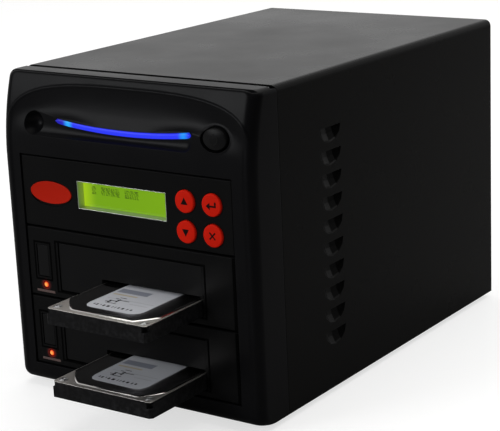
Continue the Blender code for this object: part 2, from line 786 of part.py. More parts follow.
def bay_cage():
    """A folded sheet over the bays, with outward feet and a shelf that runs back to the rear panel."""
    low = GAP + SHEET + GAP
    front = GAP + SHEET + GAP
    inner, outer, foot = CAGE_HALF, CAGE_HALF + SHEET, CAGE_HALF + SHEET + CAGE_FOOT
    right = [
        (outer, CAGE_TOP + SHEET), (outer, low + SHEET), (foot, low + SHEET),
        (foot, low), (inner, low), (inner, CAGE_TOP),
    ]
    left = [(-x, z) for x, z in reversed(right)]
    cage = prism("bay_cage", right + left, "Y", front, CAGE_DEPTH)
    shelf = box(
        "shelf",
        (-CAGE_HALF, CAGE_DEPTH - SHEET, CAGE_TOP),
        (CAGE_HALF, REAR_PANEL_FRONT - GAP, CAGE_TOP + SHEET),
    )
    fuse(cage, shelf)
    return finished(cage, "bay_cage", "bare_steel")


def foot_places():
    """Middles of the four feet under the case."""
    x = CASE_WIDTH / 2 - FOOT_FROM_SIDE
    return [(side * x, y) for y in (FOOT_FROM_END, CASE_DEPTH - FOOT_FROM_END) for side in (-1, 1)]


def rubber_feet():
    """Tapered rubber feet, each with a stud pressed through the floor."""
    names = ("foot_front_left", "foot_front_right", "foot_rear_left", "foot_rear_right")
    for name, (x, y) in zip(names, foot_places()):
        profile = [
            (0, -FOOT_HEIGHT),
            (FOOT_RADIUS - FOOT_TAPER, -FOOT_HEIGHT),
            (FOOT_RADIUS, 0),
            (FOOT_STUD_RADIUS, 0),
            (FOOT_STUD_RADIUS, FOOT_STUD_LENGTH),
            (0, FOOT_STUD_LENGTH),
        ]
        finished(turned(name, profile, "Z", (x, y), SMALL_SIDES), name, "rubber", True)


# Moulded bezel

def sweep_radius():
    """Radius of the arc by which the bezel's front leans back to its top."""
    rise = CASE_HEIGHT - SWEEP_START
    back = BEZEL_DEPTH - BEZEL_TOP_DEPTH
    return (rise * rise + back * back) / (2 * back)


def bezel_front(height):
    """Y of the bezel's front face at a height."""
    if height > SWEEP_START:
        radius, rise = sweep_radius(), height - SWEEP_START
        y = -BEZEL_DEPTH + radius - math.sqrt(radius * radius - rise * rise)
    elif height < BEZEL_CHIN_RADIUS:
        drop = BEZEL_CHIN_RADIUS - height
        y = -BEZEL_DEPTH + BEZEL_CHIN_RADIUS - math.sqrt(max(BEZEL_CHIN_RADIUS ** 2 - drop * drop, 0))
    else:
        y = -BEZEL_DEPTH
    over = height - (CASE_HEIGHT - BEZEL_TOP_EDGE)
    if over > 0:
        y += BEZEL_TOP_EDGE - math.sqrt(max(BEZEL_TOP_EDGE ** 2 - over * over, 0))
    return y


def bezel_half_width(height):
    """Half width of the bezel at a height, with the same top bends as the cover."""
    over = height - (CASE_HEIGHT - CASE_EDGE_RADIUS)
    if over <= 0:
        return CASE_WIDTH / 2
    return CASE_WIDTH / 2 - CASE_EDGE_RADIUS + math.sqrt(max(CASE_EDGE_RADIUS ** 2 - over * over, 0))


def bezel_ring(height, inset, back):
    """The bezel's outline seen from above at a height."""
    half, front = bezel_half_width(height) - inset, bezel_front(height) + inset
    radius = BEZEL_CORNER - inset
    left = arc((-half + radius, front + radius), radius, 180, 270, ARC_STEPS)
    right = [(-x, y) for x, y in reversed(left)]
    outline = [(-half, back)] + left + right + [(half, back)]
    return [(x, y, height) for x, y in outline]


def bezel_heights():
    """Heights of the rings that describe the bezel's outer surface."""
    quarter = [math.radians(90 * step / ARC_STEPS) for step in range(ARC_STEPS + 1)]
    chin = [BEZEL_CHIN_RADIUS * (1 - math.cos(turn)) for turn in quarter]
    sweep_end = CASE_HEIGHT - CASE_EDGE_RADIUS
    span = sweep_end - SWEEP_START
    sweep = [SWEEP_START + span * s / BEZEL_SWEEP_STEPS for s in range(BEZEL_SWEEP_STEPS + 1)]
    bend = [sweep_end + CASE_EDGE_RADIUS * math.sin(turn) for turn in quarter[1:]]
    return chin + sweep + bend


def circle_through(a, b, c):
    """Centre and radius of the circle through three points of a plane."""
    ax, ay, bx, by, cx, cy = *a, *b, *c
    far_a, far_b, far_c = ax * ax + ay * ay, bx * bx + by * by, cx * cx + cy * cy
    area = 2 * (ax * (by - cy) + bx * (cy - ay) + cx * (ay - by))
    x = (far_a * (by - cy) + far_b * (cy - ay) + far_c * (ay - by)) / area
    y = (far_a * (cx - bx) + far_b * (ax - cx) + far_c * (bx - ax)) / area
    return (x, y), math.hypot(ax - x, ay - y)


def arch_outline():
    """Front view of the brow's hollow: a flattened arch over a straight foot."""
    points = []
    for step in range(ARCH_STEPS + 1):
        turn = math.pi * step / ARCH_STEPS
        across = math.copysign(abs(math.cos(turn)) ** (2 / ARCH_POWER), math.cos(turn))
        up = math.sin(turn) ** (2 / ARCH_POWER)
        points.append((ARCH_HALF_WIDTH * across, ARCH_SPRING + (ARCH_CROWN - ARCH_SPRING) * up))
    return points


def brow_hollow():
    """The cutter that hollows the brow: an arch whose back is a shallow cove."""
    foot = (bezel_front(COVE_FOOT), COVE_FOOT)
    waist = (bezel_front(COVE_WAIST) + COVE_WAIST_DEPTH, COVE_WAIST)
    crown = (bezel_front(ARCH_CROWN) + COVE_CROWN_DEPTH, ARCH_CROWN)
    (y, z), radius = circle_through(foot, waist, crown)
    start = math.degrees(math.atan2(foot[1] - z, foot[0] - y))
    end = math.degrees(math.atan2(crown[1] + COVE_CROWN_DEPTH - z, crown[0] - y))
    if end - start > 180:
        end -= 360
    if start - end > 180:
        end += 360
    back = arc((y, z), radius, start, end, COVE_STEPS)
    out = -BEZEL_DEPTH - BEZEL_WALL
    profile = [(out, back[0][1])] + back + [(out, back[-1][1])]
    cove = prism("cove", profile, "X", -CASE_WIDTH, CASE_WIDTH)
    arch = prism("arch", arch_outline(), "Y", -CASE_WIDTH, CASE_WIDTH)
    return common(arch, cove)


def smile(x):
    """Height of the smile line's upper edge."""
    return SMILE_HEIGHT + SMILE_RISE * (2 * x / CASE_WIDTH) ** 2


def smile_pocket():
    """The cutter of the pocket: a ledge that rises inwards from the lip to the light pipe."""
    rings = []
    out = -BEZEL_DEPTH - BEZEL_WALL
    for step in range(POCKET_STEPS + 1):
        x = -SMILE_LEFT + (SMILE_LEFT + SMILE_RIGHT) * step / POCKET_STEPS
        near_end = max(x - (SMILE_RIGHT - POCKET_END), 0) / POCKET_END
        share = max(math.sqrt(max(1 - near_end * near_end, 0)), GAP / POCKET_END)
        top = smile(x)
        lip = top - (top - LIP_HEIGHT) * share
        front = bezel_front(LIP_HEIGHT)
        deep = front + POCKET_DEPTH * share
        step_up = top - min(PIPE_HEIGHT + 2 * GAP, (top - lip) / 2)
        rings.append([(x, out, lip), (x, front, lip), (x, deep, step_up), (x, deep, top), (x, out, top)])
    return loft("pocket", rings)


def pipe_rings(left, right, front, back, grow):
    """Rings of a bar that follows the smile line; grow widens it into the slot that it sits in."""
    rings = []
    for step in range(PIPE_STEPS + 1):
        x = left + (right - left) * step / PIPE_STEPS
        high, low = smile(x) - GAP + grow, smile(x) - GAP - PIPE_HEIGHT - grow
        nose = PIPE_PROUD / 2
        rings.append([
            (x, back, low), (x, front + nose, low), (x, front, low + nose),
            (x, front, high - nose), (x, front + nose, high), (x, back, high),
        ])
    return rings


def pipe_front():
    """Y of the light pipe's front face."""
    return bezel_front(LIP_HEIGHT) + POCKET_DEPTH - PIPE_PROUD


def light_pipe():
    """The bar of clear plastic that carries the blue light along the smile."""
    front = pipe_front()
    pipe = loft("light_pipe", pipe_rings(-PIPE_LEFT, PIPE_RIGHT, front, front + PIPE_LENGTH, 0))
    return finished(pipe, "light_pipe", "blue_light", True)


def brow_back():
    """Y of the brow's inner face."""
    return -BEZEL_DEPTH + BROW_WALL


def light_board():
    """The narrow board behind the light pipe."""
    y = max(brow_back(), pipe_front() + PIPE_LENGTH) + GAP
    middle = smile(0) - PIPE_HEIGHT / 2
    board = box(
        "light_board",
        (-PIPE_LEFT, y, middle - LIGHT_BOARD_HEIGHT / 2),
        (PIPE_RIGHT, y + BOARD, middle + LIGHT_BOARD_HEIGHT / 2),
    )
    return finished(board, "light_board", "board_green")


def front_bezel():
    """The moulded front: swept face, brow hollow, smile pocket, scoop, button well and bay opening."""
    bezel = loft("front_bezel", [bezel_ring(height, 0, -GAP) for height in bezel_heights()])
    shell = loft("shell", [
        bezel_ring(height, BEZEL_WALL, OVERRUN)
        for height in (BEZEL_CHIN_RADIUS, OPENING_LOW, SWEEP_START, OPENING_HIGH - GAP)
    ])
    inner = CASE_WIDTH / 2 - BEZEL_WALL
    brow = box(
        "brow",
        (-inner + BEZEL_WALL, brow_back(), OPENING_HIGH + BEZEL_WALL),
        (inner - BEZEL_WALL, OVERRUN, CASE_HEIGHT - BEZEL_WALL),
    )
    opening = box(
        "opening",
        (-OPENING_HALF, -BEZEL_DEPTH - OVERRUN, OPENING_LOW),
        (OPENING_HALF, OVERRUN, OPENING_HIGH),
    )
    cut(bezel, shell, brow, opening, brow_hollow(), smile_pocket())
    slot = loft("slot", pipe_rings(
        -PIPE_LEFT - GAP, PIPE_RIGHT + GAP, pipe_front(), brow_back() + OVERRUN, GAP
    ))
    cut(bezel, slot)
    front = bezel_front(SCOOP_HEIGHT)
    scoop = turned(
        "scoop",
        [(0, front + SCOOP_DEPTH), (SCOOP_RADIUS, front), (SCOOP_RADIUS, front - BEZEL_WALL)],
        "Y",
        (-SCOOP_FROM_MIDDLE, SCOOP_HEIGHT),
    )
    well = turned(
        "well",
        [
            (POWER_RADIUS + GAP, brow_back() + OVERRUN),
            (POWER_RADIUS + GAP, power_face() + POWER_RING_DEPTH),
            (POWER_RADIUS + GAP + POWER_RING, power_face()),
            (POWER_RADIUS + GAP + POWER_RING, -BEZEL_DEPTH - OVERRUN),
        ],
        "Y",
        (SCOOP_FROM_MIDDLE, POWER_HEIGHT),
    )
    line = box(
        "line",
        (-CASE_WIDTH, -BEZEL_TOP_DEPTH + BEZEL_TOP_EDGE, CASE_HEIGHT - BEZEL_LINE_DEPTH),
        (CASE_WIDTH, -BEZEL_TOP_DEPTH + BEZEL_TOP_EDGE + BEZEL_LINE_WIDTH, CASE_HEIGHT + OVERRUN),
    )
    cut(bezel, scoop, well, line)
    return finished(bezel, "front_bezel", "bezel_plastic", True)


def power_face():
    """Y of the flat around the power button."""
    return bezel_front(POWER_HEIGHT) + POWER_RING_DEPTH


def power_button():
    """A domed round button on a collar that the brow holds in."""
    face = power_face() - POWER_PROUD
    back = brow_back() + GAP
    profile = [
        (0, face - POWER_DOME),
        (POWER_RADIUS / 2, face - POWER_DOME * 3 / 4),
        (POWER_RADIUS - POWER_DOME, face - POWER_DOME / 4),
        (POWER_RADIUS, face + POWER_DOME),
        (POWER_RADIUS, back),
        (POWER_RADIUS + POWER_RING, back),
        (POWER_RADIUS + POWER_RING, back + POWER_FLANGE),
        (POWER_STEM_RADIUS, back + POWER_FLANGE),
        (POWER_STEM_RADIUS, back + POWER_FLANGE + POWER_TRAVEL),
        (0, back + POWER_FLANGE + POWER_TRAVEL),
    ]
    button = turned("power_button", profile, "Y", (SCOOP_FROM_MIDDLE, POWER_HEIGHT))
    finished(button, "power_button", "black_plastic", True)
    return hung(button, SCOOP_FROM_MIDDLE, face, POWER_HEIGHT)


def power_switch():
    """The switch block behind the power button, on its bracket from the brow."""
    y = brow_back() + GAP + POWER_FLANGE + 2 * POWER_TRAVEL + GAP
    half = SWITCH_SIZE / 2
    block = box(
        "power_switch",
        (SCOOP_FROM_MIDDLE - half, y, POWER_HEIGHT - half),
        (SCOOP_FROM_MIDDLE + half, -GAP, POWER_HEIGHT + half),
    )
    low = POWER_HEIGHT - POWER_RADIUS - POWER_RING - 2 * GAP
    strap = box(
        "strap",
        (SCOOP_FROM_MIDDLE - half, brow_back() + GAP, low - SHEET),
        (SCOOP_FROM_MIDDLE + half, y + SHEET, low),
    )
    riser = box(
        "riser",
        (SCOOP_FROM_MIDDLE - half, y, low - SHEET),
        (SCOOP_FROM_MIDDLE + half, y + SHEET, POWER_HEIGHT),
    )
    return finished(fuse(block, strap, riser), "power_switch", "black_plastic")


# Display panel

def panel_floor():
    """Bottom of the top bay."""
    return bay_floor(BAY_COUNT - 1)


def key_places():
    """Name and middle of each key."""
    low = panel_floor() + KEY_UP - KEY_BETWEEN / 2
    high, left, right = low + KEY_BETWEEN, KEY_MIDDLE - KEY_ACROSS / 2, KEY_MIDDLE + KEY_ACROSS / 2
    return [
        ("key_up", left, high), ("key_enter", right, high),
        ("key_down", left, low), ("key_back", right, low),
    ]


def window_box(grow, front, back):
    """A block the size of the display window, grown by an amount."""
    middle = panel_floor() + WINDOW_UP
    return box(
        "window",
        (WINDOW_LEFT - grow, front, middle - WINDOW_HEIGHT / 2 - grow),
        (WINDOW_RIGHT + grow, back, middle + WINDOW_HEIGHT / 2 + grow),
    )


def module_shell(name, floor, depth, wall):
    """A bay front: a wide face with a narrower box of walls behind it, open at the rear."""
    low, high = face_low(floor), face_high(floor)
    face = prism(name, rectangle(-FACE_WIDTH / 2, FACE_WIDTH / 2, low, high), "Y", FACE_Y, FACE_BACK)
    soften(face, FACE_BEVEL)
    half = MODULE_WIDTH / 2
    rim = (FACE_HEIGHT - MODULE_HEIGHT) / 2
    body = box("body", (-half, FACE_BACK - OVERRUN, low + rim), (half, FACE_Y + depth, high - rim))
    hollow = box(
        "hollow",
        (-half + wall, FACE_BACK, low + rim + wall),
        (half - wall, FACE_Y + depth + OVERRUN, high - rim - wall),
    )
    fuse(face, body)
    return cut(face, hollow)


def lcd_panel():
    """The display panel with its window, key holes and badge recess."""
    panel = module_shell("lcd_panel", panel_floor(), PANEL_DEPTH, PANEL_WALL)
    cut(panel, window_box(0, FACE_Y - OVERRUN, FACE_BACK + OVERRUN))
    for _, x, z in key_places():
        cut(panel, cylinder("hole", KEY_RADIUS + GAP, "Y", (x, z), FACE_Y - OVERRUN, FACE_BACK + OVERRUN))
    recess = BADGE_THICKNESS - BADGE_PROUD + GAP
    outline = ellipse(
        (BADGE_MIDDLE, panel_floor() + BADGE_UP), BADGE_WIDTH + 2 * GAP, BADGE_HEIGHT + 2 * GAP, ROUND_SIDES
    )
    cut(panel, prism("badge_recess", outline, "Y", FACE_Y - OVERRUN, FACE_Y + recess))
    return finished(panel, "lcd_panel", "module_plastic")


def oval_badge():
    """The bare oval plate at the panel's left."""
    outline = ellipse((BADGE_MIDDLE, panel_floor() + BADGE_UP), BADGE_WIDTH, BADGE_HEIGHT, ROUND_SIDES)
    badge = prism("oval_badge", outline, "Y", FACE_Y - BADGE_PROUD, FACE_Y - BADGE_PROUD + BADGE_THICKNESS)
    return finished(badge, "oval_badge", "badge_red", True)


def lcd_module():
    """Metal window liner, glass and board of the display."""
    back = FACE_Y + WINDOW_DEPTH
    frame = window_box(-GAP, FACE_Y + GAP, back)
    cut(frame, window_box(-GAP - FRAME_WALL, FACE_Y - OVERRUN, back + OVERRUN))
    finished(frame, "lcd_frame", "silver_frame")
    glass = window_box(LCD_MARGIN, back + GAP, back + GAP + LCD_THICKNESS)
    finished(glass, "lcd_glass", "display_green")
    middle = panel_floor() + WINDOW_UP
    low = panel_floor() + (BAY_PITCH - LCD_BOARD_HEIGHT) / 2
    front = back + GAP + LCD_THICKNESS + GAP
    board = box(
        "lcd_board",
        (WINDOW_LEFT - LCD_BOARD_TAIL, front, low),
        (WINDOW_RIGHT + LCD_BOARD_RIM, front + BOARD, low + LCD_BOARD_HEIGHT),
    )
    pad = box(
        "pad",
        (WINDOW_LEFT, front + BOARD / 2, middle - WINDOW_HEIGHT / 2),
        ((WINDOW_LEFT + WINDOW_RIGHT) / 2, front + 2 * BOARD, middle + WINDOW_HEIGHT / 2),
    )
    finished(fuse(board, pad), "lcd_board", "board_green")


def key_board_front():
    """Y of the front of the key board."""
    return FACE_BACK + KEY_STEM_END + KEY_TRAVEL + GAP + TACT_HEIGHT


def key_board():
    """The board behind the keys with its four small switches."""
    front = key_board_front()
    margin = KEY_RADIUS + GAP
    places = key_places()
    left, right = places[0][1] - margin, places[1][1] + margin
    low, high = places[2][2] - margin, places[0][2] + margin
    board = box("key_board", (left, front, low), (right, front + BOARD, high))
    half, root = TACT_SIZE / 2, front + BOARD / 2
    for _, x, z in places:
        fuse(board, box("tact", (x - half, front - TACT_HEIGHT, z - half), (x + half, root, z + half)))
    middle, up, side = (left + right) / 2, (low + high) / 2, TACT_SIZE / 3
    fuse(board, box("post", (middle - side, FACE_BACK + GAP, up - side), (middle + side, root, up + side)))
    return finished(board, "key_board", "board_green")


def panel_keys():
    """Four round keys, each on a collar behind the panel."""
    for name, x, z in key_places():
        face = FACE_Y - KEY_PROUD
        collar = FACE_BACK + GAP
        profile = [
            (0, face),
            (KEY_RADIUS - KEY_DOME, face + KEY_DOME / 4),
            (KEY_RADIUS, face + KEY_DOME),
            (KEY_RADIUS, collar),
            (KEY_RADIUS + 2 * GAP + KEY_FLANGE / 2, collar),
            (KEY_RADIUS + 2 * GAP + KEY_FLANGE / 2, collar + KEY_FLANGE),
            (KEY_STEM_RADIUS, collar + KEY_FLANGE),
            (KEY_STEM_RADIUS, FACE_BACK + KEY_STEM_END),
            (0, FACE_BACK + KEY_STEM_END),
        ]
        key = turned(name, profile, "Y", (x, z))
        finished(key, name, "key_red", True)
        hung(key, x, face, z)


def tray_floor():
    """Height of the control tray's top face."""
    return face_low(panel_floor()) + (FACE_HEIGHT - MODULE_HEIGHT) / 2 + SHEET


def control_tray():
    """The folded tray behind the panel that carries the controller."""
    low = tray_floor() - SHEET
    half = MODULE_WIDTH / 2
    front = FACE_Y + PANEL_DEPTH + GAP
    tray = box("control_tray", (-half, front, low), (half, front + TRAY_DEPTH, low + SHEET))
    side = box("side", (half - SHEET, front, low), (half, front + TRAY_DEPTH, low + TRAY_WALL_HEIGHT))
    lip = box(
        "lip",
        (-half, front, low),
        (WINDOW_RIGHT + LCD_BOARD_RIM, front + SHEET, low + FLANGE),
    )
    fuse(tray, mirrored(side, "side_left"), side, lip)
    return finished(tray, "control_tray", "bare_steel")


def controller_spot():
    """Front edge and underside of the controller board."""
    front = FACE_Y + PANEL_DEPTH + GAP + (TRAY_DEPTH - MAIN_BOARD_DEPTH) * 3 / 4
    return front, tray_floor() + MAIN_BOARD_UP


def controller_board():
    """The controller on four posts, with its main chip, memory and cable sockets."""
    front, under = controller_spot()
    half = MAIN_BOARD_WIDTH / 2
    back, top = front + MAIN_BOARD_DEPTH, under + BOARD
    board = box("controller_board", (-half, front, under), (half, back, top))
    inset, foot = 2 * POST_RADIUS, tray_floor() + GAP
    for x in (-half + inset, half - inset):
        for y in (front + inset, back - inset):
            fuse(board, cylinder("post", POST_RADIUS, "Z", (x, y), foot, under + BOARD / 2, SMALL_SIDES))
    middle = (front + back) / 2
    chip = CHIP_SIZE / 2
    fuse(board, box("chip", (-chip, middle - chip, top - BOARD / 2), (chip, middle + chip, top + CHIP_HEIGHT)))
    fuse(board, box(
        "memory", (chip * 2, middle - chip, top - BOARD / 2), (chip * 3, middle + chip, top + CHIP_HEIGHT / 2)
    ))
    for x in cable_places():
        fuse(board, box(
            "socket",
            (x - SOCKET_WIDTH / 2, back - SOCKET_DEPTH, top - BOARD / 2),
            (x + SOCKET_WIDTH / 2, back, top + SOCKET_HEIGHT),
        ))
    return finished(board, "controller_board", "board_green")


def cable_places():
    """X of the two data sockets, lower rack first."""
    return [-MAIN_BOARD_WIDTH / 4, MAIN_BOARD_WIDTH / 4]


# Trayless racks and their drives

def rack_housing(floor, name):
    """Rack frame: front face, drive channel, side chambers, hinge bores and rear wall."""
    low, high = face_low(floor), face_high(floor)
    half = MODULE_WIDTH / 2
    rim = (FACE_HEIGHT - MODULE_HEIGHT) / 2
    back = FACE_Y + RACK_DEPTH
    rack = prism(name, rectangle(-FACE_WIDTH / 2, FACE_WIDTH / 2, low, high), "Y", FACE_Y, FACE_BACK)
    soften(rack, FACE_BEVEL)
    fuse(rack, box("body", (-half, FACE_BACK - OVERRUN, low + rim), (half, back, high - rim)))
    channel_low = floor + CHANNEL_UP
    door_top = floor + DOOR_UP + DOOR_HEIGHT + DOOR_GAP
    ceiling = door_top + RACK_HEADROOM
    mouth = box(
        "mouth", (-CHANNEL_HALF, FACE_Y - OVERRUN, channel_low), (CHANNEL_HALF, FACE_BACK + OVERRUN, door_top)
    )
    channel = box(
        "channel", (-CHANNEL_HALF, DOOR_BACK, channel_low), (CHANNEL_HALF, back - RACK_WALL, ceiling)
    )
    chamber = box(
        "chamber",
        (CHANNEL_HALF + RACK_WALL, FACE_BACK - OVERRUN / 2, low + rim + RACK_WALL),
        (half - RACK_WALL, back + OVERRUN, high - rim - RACK_WALL),
    )
    cut(rack, mouth, channel, mirrored(chamber, "chamber_left"), chamber)
    axis = (DOOR_AXIS_Y, floor + DOOR_AXIS_UP)
    reach = DOOR_HALF + DOOR_PIN_LENGTH + 2 * GAP
    cut(rack, cylinder("bore", DOOR_PIN_RADIUS + GAP, "X", axis, -reach, reach, SMALL_SIDES))
    cut(rack, prism("eject_hole", eject_outline(floor, GAP), "Y", FACE_Y - OVERRUN, FACE_BACK))
    lens = (LENS_MIDDLE, floor + LENS_UP)
    cut(rack, cylinder("lens_hole", LENS_RADIUS + GAP, "Y", lens, FACE_Y - OVERRUN, FACE_BACK, SMALL_SIDES))
    middle, up = plug_middle(), floor + DRIVE_UP + PLUG_HEIGHT / 2
    cut(rack, box(
        "plug_hole",
        (middle - PLUG_WIDTH / 2 - SOCKET_WALL, back - RACK_WALL - OVERRUN, up - PLUG_HEIGHT / 2),
        (middle + PLUG_WIDTH / 2 + SOCKET_WALL, back + OVERRUN, up + PLUG_HEIGHT / 2 + SOCKET_WALL),
    ))
    return finished(rack, name, "module_plastic")


def eject_outline(floor, grow):
    """Front view of the eject button, grown by an amount."""
    middle, up = EJECT_MIDDLE, floor + EJECT_UP
    return rectangle(
        middle - EJECT_WIDTH / 2 - grow, middle + EJECT_WIDTH / 2 + grow,
        up - EJECT_HEIGHT / 2 - grow, up + EJECT_HEIGHT / 2 + grow,
    )


def eject_button(floor, name):
    """The tall narrow button that pushes the drive out."""
    front = FACE_Y + EJECT_RECESS
    button = prism(name, eject_outline(floor, 0), "Y", front, FACE_BACK + EJECT_LENGTH)
    soften(button, FACE_BEVEL / 2)
    seat = FACE_BACK + GAP
    collar = prism("collar", eject_outline(floor, EJECT_FLANGE), "Y", seat, seat + EJECT_FLANGE)
    finished(fuse(button, collar), name, "black_plastic")
    return hung(button, EJECT_MIDDLE, front, floor + EJECT_UP)


def led_lens(floor, name):
    """The small round lens under the eject button."""
    front = FACE_Y - LENS_PROUD
    profile = [
        (0, front),
        (LENS_RADIUS / 2, front),
        (LENS_RADIUS, front + LENS_PROUD),
        (LENS_RADIUS, FACE_BACK + GAP),
        (LENS_RADIUS + LENS_FLANGE, FACE_BACK + GAP),
        (LENS_RADIUS + LENS_FLANGE, FACE_Y + LENS_LENGTH),
        (0, FACE_Y + LENS_LENGTH),
    ]
    lens = turned(name, profile, "Y", (LENS_MIDDLE, floor + LENS_UP), SMALL_SIDES)
    return finished(lens, name, "red_lens", True)


def rack_door(floor, name):
    """The large flap: notched for a 2.5 inch drive, with hinge pins and lugs for the small flap."""
    low, high = floor + DOOR_UP, floor + DOOR_UP + DOOR_HEIGHT
    notch_top = low + NOTCH_HEIGHT
    outline = [
        (-DOOR_HALF, low), (NOTCH_LEFT, low), (NOTCH_LEFT, notch_top),
        (DOOR_HALF, notch_top), (DOOR_HALF, high), (-DOOR_HALF, high),
    ]
    door = prism(name, outline, "Y", DOOR_FRONT, DOOR_BACK)
    soften(door, FACE_BEVEL / 2, (1, 0, 0))
    for side in (-1, 1):
        inner, outer = side * (DOOR_HALF - DOOR_LUG), side * DOOR_HALF
        fuse(door, box(
            "lug",
            (min(inner, outer), DOOR_BACK - OVERRUN, high - DOOR_LUG_HEIGHT),
            (max(inner, outer), DOOR_AXIS_Y + DOOR_LUG_HEIGHT / 2, high - GAP),
        ))
        end = side * (DOOR_HALF + DOOR_PIN_LENGTH)
        axis = (DOOR_AXIS_Y, floor + DOOR_AXIS_UP)
        fuse(door, cylinder("pin", DOOR_PIN_RADIUS, "X", axis, min(inner, end), max(inner, end), SMALL_SIDES))
    axis = (FLAP_AXIS_Y, floor + FLAP_AXIS_UP)
    reach = FLAP_BARREL_RADIUS + GAP
    for left in (flap_left() - GAP - FLAP_LUG, flap_right() + GAP):
        lug = box(
            "lug",
            (left, DOOR_BACK - OVERRUN, floor + FLAP_AXIS_UP - FLAP_BARREL_RADIUS),
            (left + FLAP_LUG, FLAP_AXIS_Y + reach, floor + FLAP_AXIS_UP + FLAP_BARREL_RADIUS + FLAP_LUG),
        )
        fuse(door, cut(lug, cylinder(
            "bore", FLAP_HOLE_RADIUS, "X", axis, left - OVERRUN, left + FLAP_LUG + OVERRUN, SMALL_SIDES
        )))
    finished(door, name, "module_plastic")
    return hung(door, 0, DOOR_AXIS_Y, floor + DOOR_AXIS_UP)


def flap_left():
    """X of the small flap's left end."""
    return NOTCH_LEFT + GAP


def flap_right():
    """X of the small flap's right end, inside the lug at the door's right edge."""
    return DOOR_HALF - 2 * GAP - FLAP_LUG - GAP


def slot_flap(floor, name):
    """The small flap over the drive slot, pushed in and lying along the drive's top."""
    y, z = FLAP_AXIS_Y, floor + FLAP_AXIS_UP
    left, right = flap_left(), flap_right()
    low = z - FLAP_BARREL_RADIUS
    profile = arc((y, z), FLAP_BARREL_RADIUS, 35, 270, ARC_STEPS * 2)
    profile += [(y + FLAP_LENGTH, low), (y + FLAP_LENGTH, low + FLAP_THICKNESS)]
    flap = prism(name, profile, "X", left, right)
    reach = GAP + FLAP_LUG * 2 / 3
    fuse(flap, cylinder("pin", FLAP_PIN_RADIUS, "X", (y, z), left - reach, right + reach, SMALL_SIDES))
    finished(flap, name, "module_plastic")
    return hung(flap, (left + right) / 2, y, z)


def plug_middle():
    """X of the middle of the drive's plug."""
    return (DRIVE_LEFT + DRIVE_RIGHT) / 2


def backplane(floor, name):
    """The board behind the rack, with the socket that the drive plugs into."""
    wall = FACE_Y + RACK_DEPTH
    low = floor + (BAY_PITCH - BACKPLANE_HEIGHT) / 2
    middle = plug_middle()
    board = box(
        name,
        (middle - BACKPLANE_WIDTH / 2, wall + GAP, low),
        (middle + BACKPLANE_WIDTH / 2, wall + GAP + BOARD, low + BACKPLANE_HEIGHT),
    )
    bottom = floor + DRIVE_UP + GAP
    half = PLUG_WIDTH / 2 - 2 * GAP
    fuse(board, box(
        "socket",
        (middle - half, DRIVE_SEATED - SOCKET_REACH, bottom),
        (middle + half, wall + GAP + BOARD / 2, bottom + PLUG_HEIGHT - 2 * GAP),
    ))
    cut(board, box(
        "blade_slot",
        (middle - BLADE_WIDTH / 2 - GAP, DRIVE_SEATED - SOCKET_REACH - OVERRUN, blade_low(floor) - GAP),
        (middle + BLADE_WIDTH / 2 + GAP, DRIVE_SEATED + GAP, blade_low(floor) + BLADE_THICKNESS + GAP),
    ))
    return finished(board, name, "board_green")


def blade_low(floor):
    """Underside of the contact blade in the drive's plug."""
    return floor + DRIVE_UP + GAP + SOCKET_WALL


def drive_outline(inset, corner):
    """The drive seen from above, with cut corners."""
    left, right = DRIVE_LEFT + inset, DRIVE_RIGHT - inset
    front, back = DRIVE_FRONT + inset, DRIVE_FRONT + DRIVE_DEPTH - inset
    return [
        (left + corner, front), (right - corner, front), (right, front + corner), (right, back - corner),
        (right - corner, back), (left + corner, back), (left, back - corner), (left, front + corner),
    ]


def drive_base(floor, name):
    """The cast body: notched front corners, a recess for the board under it and the plug's bay."""
    low, high = floor + DRIVE_UP, floor + DRIVE_UP + DRIVE_HEIGHT - LID_THICKNESS - GAP
    base = prism(name, drive_outline(0, DRIVE_CORNER), "Z", low, high)
    back = DRIVE_FRONT + DRIVE_DEPTH
    recess_front = back - DRIVE_BOARD_DEPTH - PLUG_DEPTH
    cut(base, box(
        "board_recess",
        (DRIVE_LEFT + DRIVE_RAIL, recess_front, low - OVERRUN),
        (DRIVE_RIGHT - DRIVE_RAIL, back - GAP * 2, low + DRIVE_BOARD_RECESS),
    ))
    middle = plug_middle()
    cut(base, box(
        "plug_bay",
        (middle - PLUG_WIDTH / 2, back - PLUG_DEPTH, low - OVERRUN),
        (middle + PLUG_WIDTH / 2, back + OVERRUN, low + PLUG_HEIGHT),
    ))
    for x in (DRIVE_LEFT, DRIVE_RIGHT):
        cut(base, box(
            "notch",
            (x - CORNER_NOTCH, DRIVE_FRONT - OVERRUN, high - CORNER_NOTCH_HEIGHT),
            (x + CORNER_NOTCH, DRIVE_FRONT + CORNER_NOTCH, high + OVERRUN),
        ))
    finished(base, name, "cast_aluminium")
    return hung(base, middle, DRIVE_FRONT, low)


def lid_outline(inset):
    """The lid seen from above: its right front corner is cut wide, the others small."""
    left, right = DRIVE_LEFT + inset, DRIVE_RIGHT - inset
    front, back = DRIVE_FRONT + inset, DRIVE_FRONT + DRIVE_DEPTH - inset
    step, wide = LID_STEP, LID_CORNER
    return [
        (left + step, front), (right - wide, front), (right - wide / 2, front + step / 2),
        (right, front + wide), (right, back - step), (right - step, back),
        (left + step, back), (left, back - step), (left, front + step),
    ]


def drive_lid(floor, name):
    """The stamped lid with its raised middle."""
    top = floor + DRIVE_UP + DRIVE_HEIGHT
    lid = prism(name, lid_outline(LID_MARGIN), "Z", top - LID_THICKNESS, top - LID_RAISE)
    fuse(lid, prism("raise", lid_outline(LID_RAISE_MARGIN), "Z", top - LID_THICKNESS + GAP, top))
    finished(lid, name, "drive_lid")
    return hung(lid, plug_middle(), DRIVE_FRONT, floor + DRIVE_UP)


